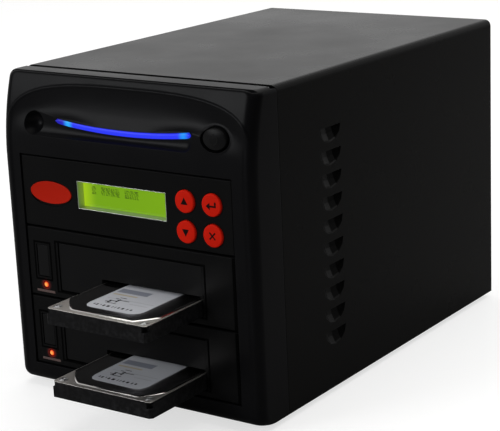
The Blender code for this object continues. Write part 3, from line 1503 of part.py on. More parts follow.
def drive_board(floor, name):
    """The circuit board in the base's recess with the plug and its contact blade."""
    low = floor + DRIVE_UP
    back = DRIVE_FRONT + DRIVE_DEPTH
    middle = plug_middle()
    top = low + DRIVE_BOARD_RECESS - GAP
    root = back - PLUG_DEPTH + GAP
    board = box(
        name,
        (DRIVE_LEFT + DRIVE_RAIL + GAP, root - DRIVE_BOARD_DEPTH, top - DRIVE_BOARD_THICKNESS),
        (DRIVE_RIGHT - DRIVE_RAIL - GAP, root, top),
    )
    fuse(board, box(
        "plug",
        (middle - PLUG_WIDTH / 2 + GAP, root, low + GAP),
        (middle + PLUG_WIDTH / 2 - GAP, root + GAP + BLADE_THICKNESS / 2, low + PLUG_HEIGHT - GAP),
    ))
    fuse(board, box(
        "blade",
        (middle - BLADE_WIDTH / 2, root, blade_low(floor)),
        (middle + BLADE_WIDTH / 2, root + BLADE_LENGTH, blade_low(floor) + BLADE_THICKNESS),
    ))
    finished(board, name, "board_green")
    return hung(board, middle, DRIVE_FRONT, low)


# Power supply and fans

def ring_sector(name, centre, inner, outer, start, end, front, back):
    """A curved slot between two radii, used to punch a round grille."""
    outline = arc(centre, outer, start, end, ARC_STEPS) + arc(centre, inner, end, start, ARC_STEPS)
    return prism(name, outline, "Y", front, back)


def small_fan_centre():
    """Middle of the power supply's fan."""
    return SUPPLY_LEFT + SMALL_FAN_FROM_SIDE, SUPPLY_FLOOR + SUPPLY_HEIGHT / 2


def inlet_centre():
    """Middle of the mains inlet."""
    return SUPPLY_LEFT + SUPPLY_WIDTH - INLET_FROM_SIDE, SUPPLY_FLOOR + INLET_UP


def rocker_centre():
    """Middle of the mains rocker, above the inlet."""
    return SUPPLY_LEFT + SUPPLY_WIDTH - INLET_FROM_SIDE, SUPPLY_FLOOR + ROCKER_UP


def psu_case():
    """The supply's steel box with its punched fan grille, front vents, inlet and rocker holes."""
    left, right = SUPPLY_LEFT, SUPPLY_LEFT + SUPPLY_WIDTH
    low, high = SUPPLY_FLOOR, SUPPLY_FLOOR + SUPPLY_HEIGHT
    front, back = SUPPLY_BACK - SUPPLY_DEPTH, SUPPLY_BACK
    case = box("psu_case", (left, front, low), (right, back, high))
    cut(case, box(
        "inside", (left + SHEET, front + SHEET, low + SHEET), (right - SHEET, back - SHEET, high - SHEET)
    ))
    punch_in, punch_out = back - SHEET - OVERRUN, back + OVERRUN
    centre = small_fan_centre()
    duct = SMALL_FAN_SIZE * FAN_DUCT_share
    bar = math.degrees(GRILLE_BAR / duct)
    inner, middle = duct * GRILLE_INNER_share, duct * GRILLE_MIDDLE_share
    for quarter in range(4):
        start = quarter * 90 + 2 * bar
        for small, large in ((inner, middle - GRILLE_BAR / 2), (middle + GRILLE_BAR / 2, duct)):
            end = start + 90 - 2 * bar
            cut(case, ring_sector("slot", centre, small, large, start, end, punch_in, punch_out))
    x, z = inlet_centre()
    cut(case, prism("inlet_hole", inlet_outline(x, z, GAP), "Y", punch_in, punch_out))
    x, z = rocker_centre()
    half, up = ROCKER_WIDTH / 2 + GAP, ROCKER_HEIGHT / 2 + GAP
    cut(case, box("rocker_hole", (x - half, punch_in, z - up), (x + half, punch_out, z + up)))
    for number in range(VENT_COUNT):
        middle = (left + right) / 2 + (number - (VENT_COUNT - 1) / 2) * VENT_PITCH
        low_vent = (low + high - VENT_HEIGHT) / 2
        cut(case, box(
            "vent",
            (middle - VENT_WIDTH / 2, front - OVERRUN, low_vent),
            (middle + VENT_WIDTH / 2, front + SHEET + OVERRUN, low_vent + VENT_HEIGHT),
        ))
    return finished(case, "psu_case", "bare_steel")


def inlet_outline(x, z, grow):
    """Front view of the mains inlet: a rectangle with two corners cut."""
    half, up, nip = INLET_WIDTH / 2 + grow, INLET_HEIGHT / 2 + grow, INLET_CHAMFER
    return [
        (x - half, z - up), (x + half, z - up), (x + half, z + up - nip),
        (x + half - nip, z + up), (x - half + nip, z + up), (x - half, z + up - nip),
    ]


def mains_inlet():
    """The three-pin mains inlet with its flange, well and pins."""
    x, z = inlet_centre()
    back, mouth = SUPPLY_BACK, SUPPLY_BACK + INLET_PROUD
    inlet = prism("mains_inlet", inlet_outline(x, z, 0), "Y", back - INLET_DEPTH, mouth)
    fuse(inlet, prism("flange", inlet_outline(x, z, INLET_FLANGE), "Y", back + GAP, mouth))
    well = mouth - INLET_WELL
    cut(inlet, prism("well", inlet_outline(x, z, -INLET_WALL), "Y", well, mouth + OVERRUN))
    half, up = BLADE_PIN_WIDTH / 2, BLADE_PIN_HEIGHT / 2
    for side in (-1, 0, 1):
        across, rise = side * BLADE_PIN_PITCH, BLADE_PIN_OFFSET * (1 - 2 * abs(side))
        fuse(inlet, box(
            "pin",
            (x + across - half, well - OVERRUN, z + rise - up),
            (x + across + half, back - BLADE_PIN_WIDTH, z + rise + up),
        ))
    return finished(inlet, "mains_inlet", "black_plastic")


def rocker_frame():
    """The body that the mains rocker turns in."""
    x, z = rocker_centre()
    half, up = ROCKER_WIDTH / 2, ROCKER_HEIGHT / 2
    edge, back, root = ROCKER_FRAME, SUPPLY_BACK, SUPPLY_BACK - ROCKER_DEPTH
    rim = back + edge
    body = box("rocker_frame", (x - half, root, z - up), (x + half, rim, z + up))
    fuse(body, box("rim", (x - half - edge, back + GAP, z - up - edge), (x + half + edge, rim, z + up + edge)))
    cut(body, box(
        "well",
        (x - half + edge, root + edge, z - up + edge),
        (x + half - edge, rim + OVERRUN, z + up - edge),
    ))
    return finished(body, "rocker_frame", "black_plastic")


def rocker_axis_y():
    """Y of the rocker's axis, inside its body."""
    return SUPPLY_BACK - ROCKER_DEPTH / 3


def rocker_switch():
    """The mains rocker, tipped to the side that it rests on."""
    x, z = rocker_centre()
    half = ROCKER_WIDTH / 2 - ROCKER_FRAME - GAP
    up = ROCKER_HEIGHT / 2 - ROCKER_FRAME - GAP
    y = rocker_axis_y()
    crown = SUPPLY_BACK + ROCKER_FRAME + GAP * 2
    root = SUPPLY_BACK - ROCKER_DEPTH + ROCKER_FRAME + GAP * 2
    rise = half * math.tan(math.radians(ROCKER_TILT_DEGREES))
    shorter = half - (crown - y) * math.sin(math.radians(ROCKER_TILT_DEGREES))
    profile = [
        (-shorter, y), (-shorter, crown + rise), (0, crown), (shorter, crown + rise), (shorter, y),
        (shorter / 3, root), (-shorter / 3, root),
    ]
    rocker = prism("rocker_switch", [(x + a, b) for a, b in profile], "Z", z - up, z + up)
    turn = Matrix.Translation((x, y, z)) @ Matrix.Rotation(math.radians(-ROCKER_TILT_DEGREES), 4, "Z")
    rocker.data.transform(turn @ Matrix.Translation((-x, -y, -z)))
    finished(rocker, "rocker_switch", "black_plastic")
    return hung(rocker, x, y, z)


def fan_frame(name, centre, size, front, depth):
    """A square fan frame with its round duct, and four arms that carry the motor's seat."""
    half, corner = size / 2, size * FAN_CORNER_share
    x, z = centre
    outline = rounded_rectangle(x - half, x + half, z - half, z + half, corner, 2)
    frame = prism(name, outline, "Y", front, front + depth)
    cut(frame, cylinder("duct", size * FAN_DUCT_share, "Y", centre, front - OVERRUN, front + depth + OVERRUN))
    arm = depth * FAN_ARM_THICKNESS_share
    reach = size * FAN_DUCT_share + GAP
    seat = cylinder("seat", size * FAN_HUB_share, "Y", centre, front, front + arm)
    side = FAN_ARM_WIDTH / 2
    fuse(seat, box("arm", (x - reach, front, z - side), (x + reach, front + arm, z + side)))
    fuse(seat, box("arm", (x - side, front, z - reach), (x + side, front + arm, z + reach)))
    fuse(frame, seat)
    return finished(frame, name, "black_plastic", True)


def fan_rotor(name, centre, size, front, depth):
    """A hub with twisted blades, turning behind the arms of its frame."""
    x, z = centre
    hub = size * FAN_HUB_share
    start = front + depth * FAN_ARM_THICKNESS_share + GAP
    length = depth * FAN_ROTOR_LENGTH_share
    end, nip = start + length, hub / 4
    profile = [(0, start), (hub, start), (hub, end - nip), (hub - nip, end), (0, end)]
    rotor = turned(name, profile, "Y", centre)
    tip = size * FAN_BLADE_share
    middle = start + length / 2
    thick = FAN_BLADE_THICKNESS / 2
    for number in range(FAN_BLADE_COUNT):
        turn = 2 * math.pi * number / FAN_BLADE_COUNT
        rings = []
        for share in (0, 1 / 2, 1):
            radius = hub - nip + (tip - hub + nip) * share
            pitch = math.radians(FAN_TWIST_ROOT_DEGREES * (1 - share) + FAN_TWIST_TIP_DEGREES * share)
            chord = min((length / 2 - thick) / math.sin(pitch), length)
            ring = []
            for along, across in ((-chord, -thick), (chord, -thick), (chord, thick), (-chord, thick)):
                tangent = along * math.cos(pitch) - across * math.sin(pitch)
                axial = along * math.sin(pitch) + across * math.cos(pitch)
                reach = math.sqrt(max(radius * radius - tangent * tangent, (radius / 2) ** 2))
                ring.append((
                    x + reach * math.cos(turn) - tangent * math.sin(turn),
                    middle + axial,
                    z + reach * math.sin(turn) + tangent * math.cos(turn),
                ))
            rings.append(ring)
        fuse(rotor, loft("blade", rings))
    finished(rotor, name, "black_plastic", True)
    return hung(rotor, x, middle, z)


def fan_guard():
    """The wire guard outside the case fan: rings on crossed arms that reach its screws."""
    centre = (0, CASE_FAN_HEIGHT)
    y = REAR_PANEL_BACK + GAP + GUARD_WIRE_RADIUS
    half, wire = CASE_FAN_SIZE / 2, 2 * GUARD_WIRE_RADIUS
    guard = None
    for turn in (math.pi / 4, -math.pi / 4):
        run = Vector((math.cos(turn), 0, math.sin(turn)))
        side = Vector((-math.sin(turn), 0, math.cos(turn)))
        reach = half * math.sqrt(2) * GUARD_ARM_share * 4 / 3
        rings = []
        for end in (-reach, reach):
            place = Vector((centre[0], y, centre[1])) + run * end
            rings.append([
                place + side * (a - centre[0]) + Vector((0, b, 0))
                for a, b in ellipse((centre[0], 0), wire, wire, GUARD_SECTION_SIDES + 1)
            ])
        arm = loft("arm", rings)
        guard = fuse(guard, arm) if guard else arm
    lift = GUARD_WIRE_RADIUS
    for number in range(GUARD_RINGS):
        share = GUARD_FIRST_RING_share
        share += (GUARD_OUTER_RING_share - GUARD_FIRST_RING_share) * number / (GUARD_RINGS - 1)
        radius = half * share
        rings = []
        for step in range(ROUND_SIDES):
            turn = 2 * math.pi * step / ROUND_SIDES
            rings.append([
                (
                    centre[0] + (radius + a) * math.cos(turn),
                    y + lift + b,
                    centre[1] + (radius + a) * math.sin(turn),
                )
                for a, b in ellipse((0, 0), wire, wire, GUARD_SECTION_SIDES)
            ])
        fuse(guard, loft("ring", rings, closed=True))
    return finished(guard, "fan_guard", "bare_steel", True)


def fans():
    """The power supply's fan and the case fan behind the rear panel."""
    back = SUPPLY_BACK - SHEET - GAP
    centre = small_fan_centre()
    fan_frame("psu_fan_frame", centre, SMALL_FAN_SIZE - 2 * SHEET, back - SMALL_FAN_DEPTH, SMALL_FAN_DEPTH)
    fan_rotor("psu_fan_rotor", centre, SMALL_FAN_SIZE - 2 * SHEET, back - SMALL_FAN_DEPTH, SMALL_FAN_DEPTH)
    back = REAR_PANEL_FRONT - GAP
    centre = (0, CASE_FAN_HEIGHT)
    fan_frame("case_fan_frame", centre, CASE_FAN_SIZE, back - CASE_FAN_DEPTH, CASE_FAN_DEPTH)
    fan_rotor("case_fan_rotor", centre, CASE_FAN_SIZE, back - CASE_FAN_DEPTH, CASE_FAN_DEPTH)


# Cables

def smooth_route(places, steps):
    """Points on a smooth curve through the given places."""
    places = [Vector(place) for place in places]
    ends = [places[0] * 2 - places[1]] + places + [places[-1] * 2 - places[-2]]
    route = []
    for number in range(1, len(ends) - 2):
        a, b, c, d = ends[number - 1:number + 3]
        for step in range(steps):
            t = step / steps
            square, cube = 2 * a - 5 * b + 4 * c - d, 3 * b - a - 3 * c + d
            route.append((2 * b + (c - a) * t + square * t ** 2 + cube * t ** 3) / 2)
    return route + [places[-1]]


def cable(name, places, radius, slot):
    """A round cable along a smooth route, square to the route at every ring."""
    route = smooth_route(places, CABLE_STEPS)
    side = (route[1] - route[0]).orthogonal().normalized()
    rings = []
    for number, place in enumerate(route):
        before, after = route[max(number - 1, 0)], route[min(number + 1, len(route) - 1)]
        run = (after - before).normalized()
        side = (side - run * side.dot(run)).normalized()
        up = run.cross(side)
        rings.append([
            place + side * a + up * b for a, b in ellipse((0, 0), 2 * radius, 2 * radius, CABLE_SIDES)
        ])
    return finished(loft(name, rings), name, slot, True)


def cables():
    """A data cable from each rack to the controller."""
    board = FACE_Y + RACK_DEPTH + 2 * GAP + BOARD
    front, under = controller_spot()
    socket = front + MAIN_BOARD_DEPTH + GAP
    height = under + BOARD + SOCKET_HEIGHT / 2
    for name, number, x in zip(("data_cable_lower", "data_cable_upper"), (0, 1), cable_places()):
        start = bay_floor(number) + BAY_PITCH / 2
        plug = plug_middle() + math.copysign(BACKPLANE_WIDTH / 4, x)
        out = max(board, socket) + CABLE_END + CABLE_BOW * (2 - number) / 2
        cable(name, [
            (plug, board + 2 * GAP, start),
            (plug, board + 2 * GAP + CABLE_END, start),
            ((plug + x) / 2, out, (start + height) / 2),
            (x, socket + 2 * GAP + CABLE_END, height),
            (x, socket + 2 * GAP, height),
        ], CABLE_RADIUS, "cable_red")


# Assembly

def gather():
    """Stand the whole object on its feet, with its origin under the middle of its length."""
    stand = bpy.data.objects.new("duplicator", None)
    bpy.context.scene.collection.objects.link(stand)
    stand.location = (0, ORIGIN_Y, FOOT_HEIGHT)
    for thing in bpy.data.objects:
        if thing is not stand and thing.parent is None:
            thing.parent = stand


def build():
    """Make every piece and put it in its place."""
    clear_scene()
    outer_cover()
    base_pan()
    rear_panel()
    bay_cage()
    rubber_feet()
    cover_screws()
    front_bezel()
    light_pipe()
    light_board()
    power_button()
    power_switch()
    lcd_panel()
    oval_badge()
    lcd_module()
    key_board()
    panel_keys()
    control_tray()
    controller_board()
    for number, level in enumerate(("lower", "upper")):
        floor = bay_floor(number)
        rack_housing(floor, "rack_housing_" + level)
        rack_door(floor, "rack_door_" + level)
        slot_flap(floor, "slot_flap_" + level)
        eject_button(floor, "eject_button_" + level)
        led_lens(floor, "led_lens_" + level)
        backplane(floor, "backplane_" + level)
        drive_base(floor, "drive_base_" + level)
        drive_lid(floor, "drive_lid_" + level)
        drive_board(floor, "drive_board_" + level)
    psu_case()
    mains_inlet()
    rocker_frame()
    rocker_switch()
    fans()
    fan_guard()
    cables()
    gather()


build()
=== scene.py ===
"""Looks of a hard drive duplicator: a black steel tower with a moulded front and two drives.

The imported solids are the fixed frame. Each class below dresses one sub-assembly: it keeps the
solids that look right, gives them a finish, and builds finer pieces in place of the others.
"""

import logging
import math
from dataclasses import dataclass
from enum import Enum
from typing import Callable, Optional, Sequence

import bmesh
import bpy
from mathutils import Matrix, Vector


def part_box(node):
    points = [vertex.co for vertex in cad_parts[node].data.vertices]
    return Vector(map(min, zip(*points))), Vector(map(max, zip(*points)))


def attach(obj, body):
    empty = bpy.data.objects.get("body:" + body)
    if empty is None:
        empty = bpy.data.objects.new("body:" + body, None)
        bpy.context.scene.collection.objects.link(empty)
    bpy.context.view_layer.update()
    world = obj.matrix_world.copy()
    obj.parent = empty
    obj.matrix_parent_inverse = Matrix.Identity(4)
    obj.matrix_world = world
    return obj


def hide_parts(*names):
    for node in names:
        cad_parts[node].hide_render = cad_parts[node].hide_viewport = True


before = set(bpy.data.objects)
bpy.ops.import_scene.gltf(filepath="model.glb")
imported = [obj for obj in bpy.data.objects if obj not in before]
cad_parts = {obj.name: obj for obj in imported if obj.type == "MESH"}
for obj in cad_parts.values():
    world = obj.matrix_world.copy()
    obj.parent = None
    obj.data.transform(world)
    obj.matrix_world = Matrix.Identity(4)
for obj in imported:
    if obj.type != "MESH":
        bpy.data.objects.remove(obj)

log = logging.getLogger("duplicator")

Point = tuple[float, float, float]
Flat = tuple[float, float]
Inputs = dict[object, object]
Sockets = bpy.types.bpy_prop_collection
Piece = bpy.types.Object
Socket = bpy.types.NodeSocket
Tree = bpy.types.NodeTree
Material = bpy.types.Material

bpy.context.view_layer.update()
CASE_LOW, CASE_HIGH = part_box("outer_cover")
CASE_FRONT = CASE_LOW[1]
CASE_FLOOR = CASE_LOW[2]
CASE_WIDTH = CASE_HIGH[0] - CASE_LOW[0]
CASE_HEIGHT = CASE_HIGH[2] - CASE_LOW[2]
GAP = 0.0003
OVERRUN = 0.001
SHARP_DEGREES = 30.0
WEAR_EDGE = (0.52, 0.62)
WEAR_BREAK = (0.42, 0.62)
WEAR_SPECKLE = 500.0
DUST_SLOPE = 0.3
DUST_PATCH = 90.0
BLOCK_FACES = ((0, 2, 3, 1), (4, 5, 7, 6), (0, 1, 5, 4), (2, 6, 7, 3), (0, 4, 6, 2), (1, 3, 7, 5))


class Axis(Enum):
    """The direction that an outline is carried along."""

    X = "x"
    Y = "y"
    Z = "z"


class Level(Enum):
    """The two drive bays."""

    LOWER = "lower"
    UPPER = "upper"


class Key(Enum):
    """The four keys of the panel, by the mark that each carries."""

    UP = "key_up"
    DOWN = "key_down"
    ENTER = "key_enter"
    BACK = "key_back"


# Mesh helpers


def at(x: float, y: float, z: float) -> Vector:
    """A place given in case axes, as a place in the frame."""
    return Vector((x, y + CASE_FRONT, z + CASE_FLOOR))


def placed(axis: Axis, a: float, b: float, along: float) -> Point:
    """A point from its two outline coordinates and its place along the axis.

    Args:
        axis: the direction of the third coordinate.
        a: first outline coordinate.
        b: second outline coordinate.
        along: place along the axis.

    Returns:
        The point, in case axes.
    """
    if axis is Axis.X:
        return (along, a, b)
    if axis is Axis.Y:
        return (a, along, b)
    return (a, b, along)


def mesh_piece(name: str, points: Sequence[Point], faces: Sequence[Sequence[int]]) -> Piece:
    """Make a closed piece from points in case axes.

    Args:
        name: the piece's name.
        points: its vertices, in case axes.
        faces: vertex numbers of each face.

    Returns:
        The new object, with its faces turned outwards.
    """
    mesh = bpy.data.meshes.new(name)
    mesh.from_pydata([tuple(at(*point)) for point in points], [], [tuple(face) for face in faces])
    shape = bmesh.new()
    shape.from_mesh(mesh)
    bmesh.ops.recalc_face_normals(shape, faces=shape.faces)
    shape.to_mesh(mesh)
    shape.free()
    piece = bpy.data.objects.new(name, mesh)
    bpy.context.scene.collection.objects.link(piece)
    return piece


def loft(name: str, rings: Sequence[Sequence[Point]], closed: bool = False) -> Piece:
    """Join rings of equal length in order.

    Args:
        name: the piece's name.
        rings: closed outlines with the same number of points.
        closed: whether the last ring joins the first; otherwise both ends are capped.

    Returns:
        The new piece.
    """
    count = len(rings[0])
    points = [point for ring in rings for point in ring]
    faces: list[tuple[int, ...]] = []
    for row in range(len(rings) if closed else len(rings) - 1):
        start, after = row * count, ((row + 1) % len(rings)) * count
        for step in range(count):
            along = (step + 1) % count
            faces.append((start + step, start + along, after + along, after + step))
    if not closed:
        faces.append(tuple(range(count)))
        faces.append(tuple(range((len(rings) - 1) * count, len(rings) * count)))
    return mesh_piece(name, points, faces)


def prism(name: str, outline: Sequence[Flat], axis: Axis, start: float, end: float) -> Piece:
    """Carry an outline straight along an axis."""
    return loft(name, [[placed(axis, a, b, along) for a, b in outline] for along in (start, end)])


def block(name: str, low: Point, high: Point) -> Piece:
    """A block between two corners, used to cut with or as a part of a larger piece."""
    outline = [(low[0], low[1]), (high[0], low[1]), (high[0], high[1]), (low[0], high[1])]
    return prism(name, outline, Axis.Z, low[2], high[2])


def circle(centre: Flat, across: float, high: float, sides: int) -> list[Flat]:
    """An ellipse from its full width and height."""
    turns = [2 * math.pi * step / sides for step in range(sides)]
    return [(centre[0] + across / 2 * math.cos(t), centre[1] + high / 2 * math.sin(t)) for t in turns]


def turned(
    name: str, profile: Sequence[Flat], axis: Axis, centre: Flat, sides: int = 64, squash: float = 1.0
) -> Piece:
    """Turn a profile about an axis.

    Args:
        name: the piece's name.
        profile: pairs of radius and place along the axis; a radius of zero closes an end.
        axis: the axis that it turns about.
        centre: where the axis passes, in the two other coordinates.
        sides: how many sides the round has.
        squash: share of the width that the height has.

    Returns:
        The new piece.
    """
    points: list[Point] = []
    rows: list[list[int]] = []
    for radius, along in profile:
        if radius == 0:
            rows.append([len(points)])
            points.append(placed(axis, centre[0], centre[1], along))
            continue
        rows.append(list(range(len(points), len(points) + sides)))
        round_points = circle(centre, 2 * radius, 2 * radius * squash, sides)
        points += [placed(axis, a, b, along) for a, b in round_points]
    faces: list[tuple[int, ...]] = []
    for before, after in zip(rows, rows[1:]):
        for step in range(sides):
            along = (step + 1) % sides
            if len(before) == 1:
                faces.append((before[0], after[along], after[step]))
            elif len(after) == 1:
                faces.append((before[step], before[along], after[0]))
            else:
                faces.append((before[step], before[along], after[along], after[step]))
    for row in (rows[0], rows[-1]):
        if len(row) > 1:
            faces.append(tuple(row))
    return mesh_piece(name, points, faces)


def cut(target: Piece, *others: Piece) -> None:
    """Take one shape after another away from the target and use them up.

    Args:
        target: the piece that is cut.
        others: the shapes that cut it.
    """
    for other in others:
        change = target.modifiers.new("cut", "BOOLEAN")
        change.operation = "DIFFERENCE"
        change.object = other
        change.solver = "EXACT"
        graph = bpy.context.evaluated_depsgraph_get()
        mesh = bpy.data.meshes.new_from_object(target.evaluated_get(graph))
        target.modifiers.clear()
        old = target.data
        target.data = mesh
        bpy.data.meshes.remove(old)
        bpy.data.objects.remove(other, do_unlink=True)


def gather(name: str, pieces: Sequence[Piece]) -> Piece:
    """Put separate closed shapes of one finish into a single object.

    Args:
        name: the new piece's name.
        pieces: the shapes, which are used up.

    Returns:
        The new piece.
    """
    shape = bmesh.new()
    for piece in pieces:
        shape.from_mesh(piece.data)
    mesh = bpy.data.meshes.new(name)
    shape.to_mesh(mesh)
    shape.free()
    for piece in pieces:
        bpy.data.objects.remove(piece, do_unlink=True)
    whole = bpy.data.objects.new(name, mesh)
    bpy.context.scene.collection.objects.link(whole)
    return whole


def blocks(name: str, corners: Sequence[tuple[Point, Point]]) -> Piece:
    """Separate blocks in one piece, each between its two corners.

    Args:
        name: the piece's name.
        corners: lowest and highest corner of each block.

    Returns:
        The new piece.
    """
    points: list[Point] = []
    faces: list[tuple[int, ...]] = []
    for low, high in corners:
        first = len(points)
        (left, front, floor), (right, back, top) = low, high
        points += [(x, y, z) for z in (floor, top) for y in (front, back) for x in (left, right)]
        faces += [tuple(first + n for n in face) for face in BLOCK_FACES]
    return mesh_piece(name, points, faces)


def case_box(node: str) -> tuple[Point, Point]:
    """The lowest and the highest corner of a solid, in case axes."""
    low, high = ((x, y - CASE_FRONT, z - CASE_FLOOR) for x, y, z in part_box(node))
    return low, high


def material_of(finish: "Finish") -> Material:
    """The finish's material, built the first time that it is asked for."""
    return bpy.data.materials.get(finish.name) or finish.material()


def show(piece: Piece, body: str, finish: "Finish", replaces: Sequence[str] = ()) -> None:
    """Shade and finish a new piece and say what it rides on and stands for.

    Args:
        piece: the new piece.
        body: the body that it moves with.
        finish: what it is made of.
        replaces: the solids that it stands for.
    """
    piece.data.shade_smooth()
    piece.data.set_sharp_from_angle(angle=math.radians(SHARP_DEGREES))
    piece.data.materials.clear()
    piece.data.materials.append(material_of(finish))
    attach(piece, body)
    if replaces:
        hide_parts(*replaces)
    log.info("%s rides on %s", piece.name, body)


def dress(finish: "Finish", *nodes: str) -> None:
    """Give solids that stay in view their finish.

    Args:
        finish: what they are made of.
        nodes: names of the solids.
    """
    for node in nodes:
        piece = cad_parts[node]
        piece.data.materials.clear()
        piece.data.materials.append(material_of(finish))
        log.info("%s keeps its solid", node)


# Materials


class Graph:
    """A node tree under construction, in which each node is added with what goes into it."""

    def __init__(self, tree: Tree) -> None:
        """Take the tree that the nodes go into."""
        self.tree = tree

    def fill(self, node: bpy.types.Node, inputs: Inputs) -> None:
        """Link each named or numbered input to a socket, or set it to a plain value.

        Args:
            node: the node.
            inputs: what goes into it.
        """
        for name, value in inputs.items():
            socket = node.inputs[name]
            if isinstance(value, Socket):
                self.tree.links.new(value, socket)
            else:
                socket.default_value = (*value, 1.0) if socket.type == "RGBA" else value

    def add(self, kind: str, inputs: Optional[Inputs] = None, **values: object) -> Sockets:
        """Add a node.

        Args:
            kind: the node's type, without the words that all types start with.
            inputs: what goes into it.
            values: its plain properties.

        Returns:
            Its outputs.
        """
        made = self.tree.nodes.new("ShaderNode" + kind)
        for name, value in values.items():
            setattr(made, name, value)
        self.fill(made, inputs or {})
        return made.outputs

    def place(self) -> Socket:
        """Where a point lies on its own object."""
        return self.add("TexCoord")["Object"]

    def split(self, vector: Socket) -> Sockets:
        """The three parts of a vector."""
        return self.add("SeparateXYZ", {0: vector})

    def noise(self, scale: object, detail: float = 2.0, roughness: float = 0.5) -> Socket:
        """Soft noise over the object."""
        inputs = {"Vector": self.place(), "Scale": scale, "Detail": detail, "Roughness": roughness}
        return self.add("TexNoise", inputs)["Fac"]

    def calc(self, operation: str, first: object, second: object = 0.0) -> Socket:
        """One step of arithmetic."""
        return self.add("Math", {0: first, 1: second}, operation=operation)[0]

    def fade(
        self, value: object, start: float, end: float, low: float = 0.0, high: float = 1.0,
        soft: bool = False,
    ) -> Socket:
        """A value carried from one range to another and held at its ends.

        Args:
            value: what is carried over.
            start: where the result is low.
            end: where the result is high.
            low: the result at the start.
            high: the result at the end.
            soft: whether it eases in and out.

        Returns:
            The result.
        """
        inputs = {"Value": value, "From Min": start, "From Max": end, "To Min": low, "To Max": high}
        return self.add("MapRange", inputs, interpolation_type="SMOOTHSTEP" if soft else "LINEAR")["Result"]

    def mix(self, mask: Socket, first: object, second: object) -> Socket:
        """The first colour where the mask is 0 and the second where it is 1."""
        return self.add("Mix", {0: mask, 6: first, 7: second}, data_type="RGBA")[2]


def new_group(
    name: str, given: Sequence[str], results: Sequence[str]
) -> tuple[Graph, Sockets, bpy.types.Node]:
    """Start a node group whose sockets all carry numbers.

    Args:
        name: the group's name.
        given: names of the numbers that go in.
        results: names of the numbers that come out.

    Returns:
        The group, the sockets of what goes in, and the node that takes the results.
    """
    tree = bpy.data.node_groups.new(name, "ShaderNodeTree")
    for way, names in (("INPUT", given), ("OUTPUT", results)):
        for socket in names:
            tree.interface.new_socket(name=socket, in_out=way, socket_type="NodeSocketFloat")
    return Graph(tree), tree.nodes.new("NodeGroupInput").outputs, tree.nodes.new("NodeGroupOutput")


def fine_grain(name: str) -> Tree:
    """Fine grain: a height for the bump and a slow shade that varies over the surface.

    Args:
        name: the group's name.

    Returns:
        The group.
    """
    graph, given, end = new_group(name, ("Fineness", "Cloud size"), ("Height", "Cloud"))
    graph.fill(end, {
        "Height": graph.noise(given["Fineness"], 3.0), "Cloud": graph.noise(given["Cloud size"], 4.0),
    })
    return graph.tree


def edge_wear(name: str) -> Tree:
    """Edge wear: a mask that is strong on outer edges and broken up by noise.

    Args:
        name: the group's name.

    Returns:
        The group.
    """
    graph, given, end = new_group(name, ("Amount",), ("Mask",))
    edge = graph.fade(graph.add("NewGeometry")["Pointiness"], *WEAR_EDGE)
    broken = graph.fade(graph.noise(WEAR_SPECKLE, 5.0), *WEAR_BREAK)
    mask = graph.calc("MULTIPLY", edge, broken)
    graph.fill(end, {"Mask": graph.calc("MULTIPLY", mask, given["Amount"])})
    return graph.tree


def settled_dust(name: str) -> Tree:
    """Settled dust: a mask on faces that look up, in soft patches and specks.

    Args:
        name: the group's name.

    Returns:
        The group.
    """
    graph, given, end = new_group(name, ("Amount",), ("Mask",))
    upward = graph.fade(graph.split(graph.add("NewGeometry")["Normal"])["Z"], DUST_SLOPE, 1.0)
    mask = graph.calc("MULTIPLY", upward, graph.noise(DUST_PATCH, 8.0, 0.7))
    graph.fill(end, {"Mask": graph.calc("MULTIPLY", mask, given["Amount"])})
    return graph.tree


class Shading(Graph):
    """A material under construction, with one Principled shader."""

    def __init__(self, name: str) -> None:
        """Start from a new material.

        Args:
            name: the material's name.
        """
        self.material = bpy.data.materials.new(name)
        self.material.use_nodes = True
        super().__init__(self.material.node_tree)
        self.shader = self.tree.nodes["Principled BSDF"]

    def group(self, maker: Callable[[str], Tree], inputs: Inputs) -> Sockets:
        """Place a shared group, built once, with this material's own values."""
        name = maker.__name__
        return self.add("Group", inputs, node_tree=bpy.data.node_groups.get(name) or maker(name))

    def shine(self, colour: Socket, base: Point, roughness: float) -> Material:
        """Let a colour shine over a dark base.

        Args:
            colour: socket of the colour.
            base: the colour under it.
            roughness: how rough it is.

        Returns:
            The material.
        """
        self.fill(self.shader, {
            "Emission Color": colour, "Emission Strength": 1.0, "Base Color": base, "Roughness": roughness,
            "Specular IOR Level": 0.1,
        })
        return self.material


@dataclass(frozen=True)
class Finish:
    """What a piece is made of, under the name of its material."""

    name: str

    def material(self) -> Material:
        """Build the material."""
        raise NotImplementedError


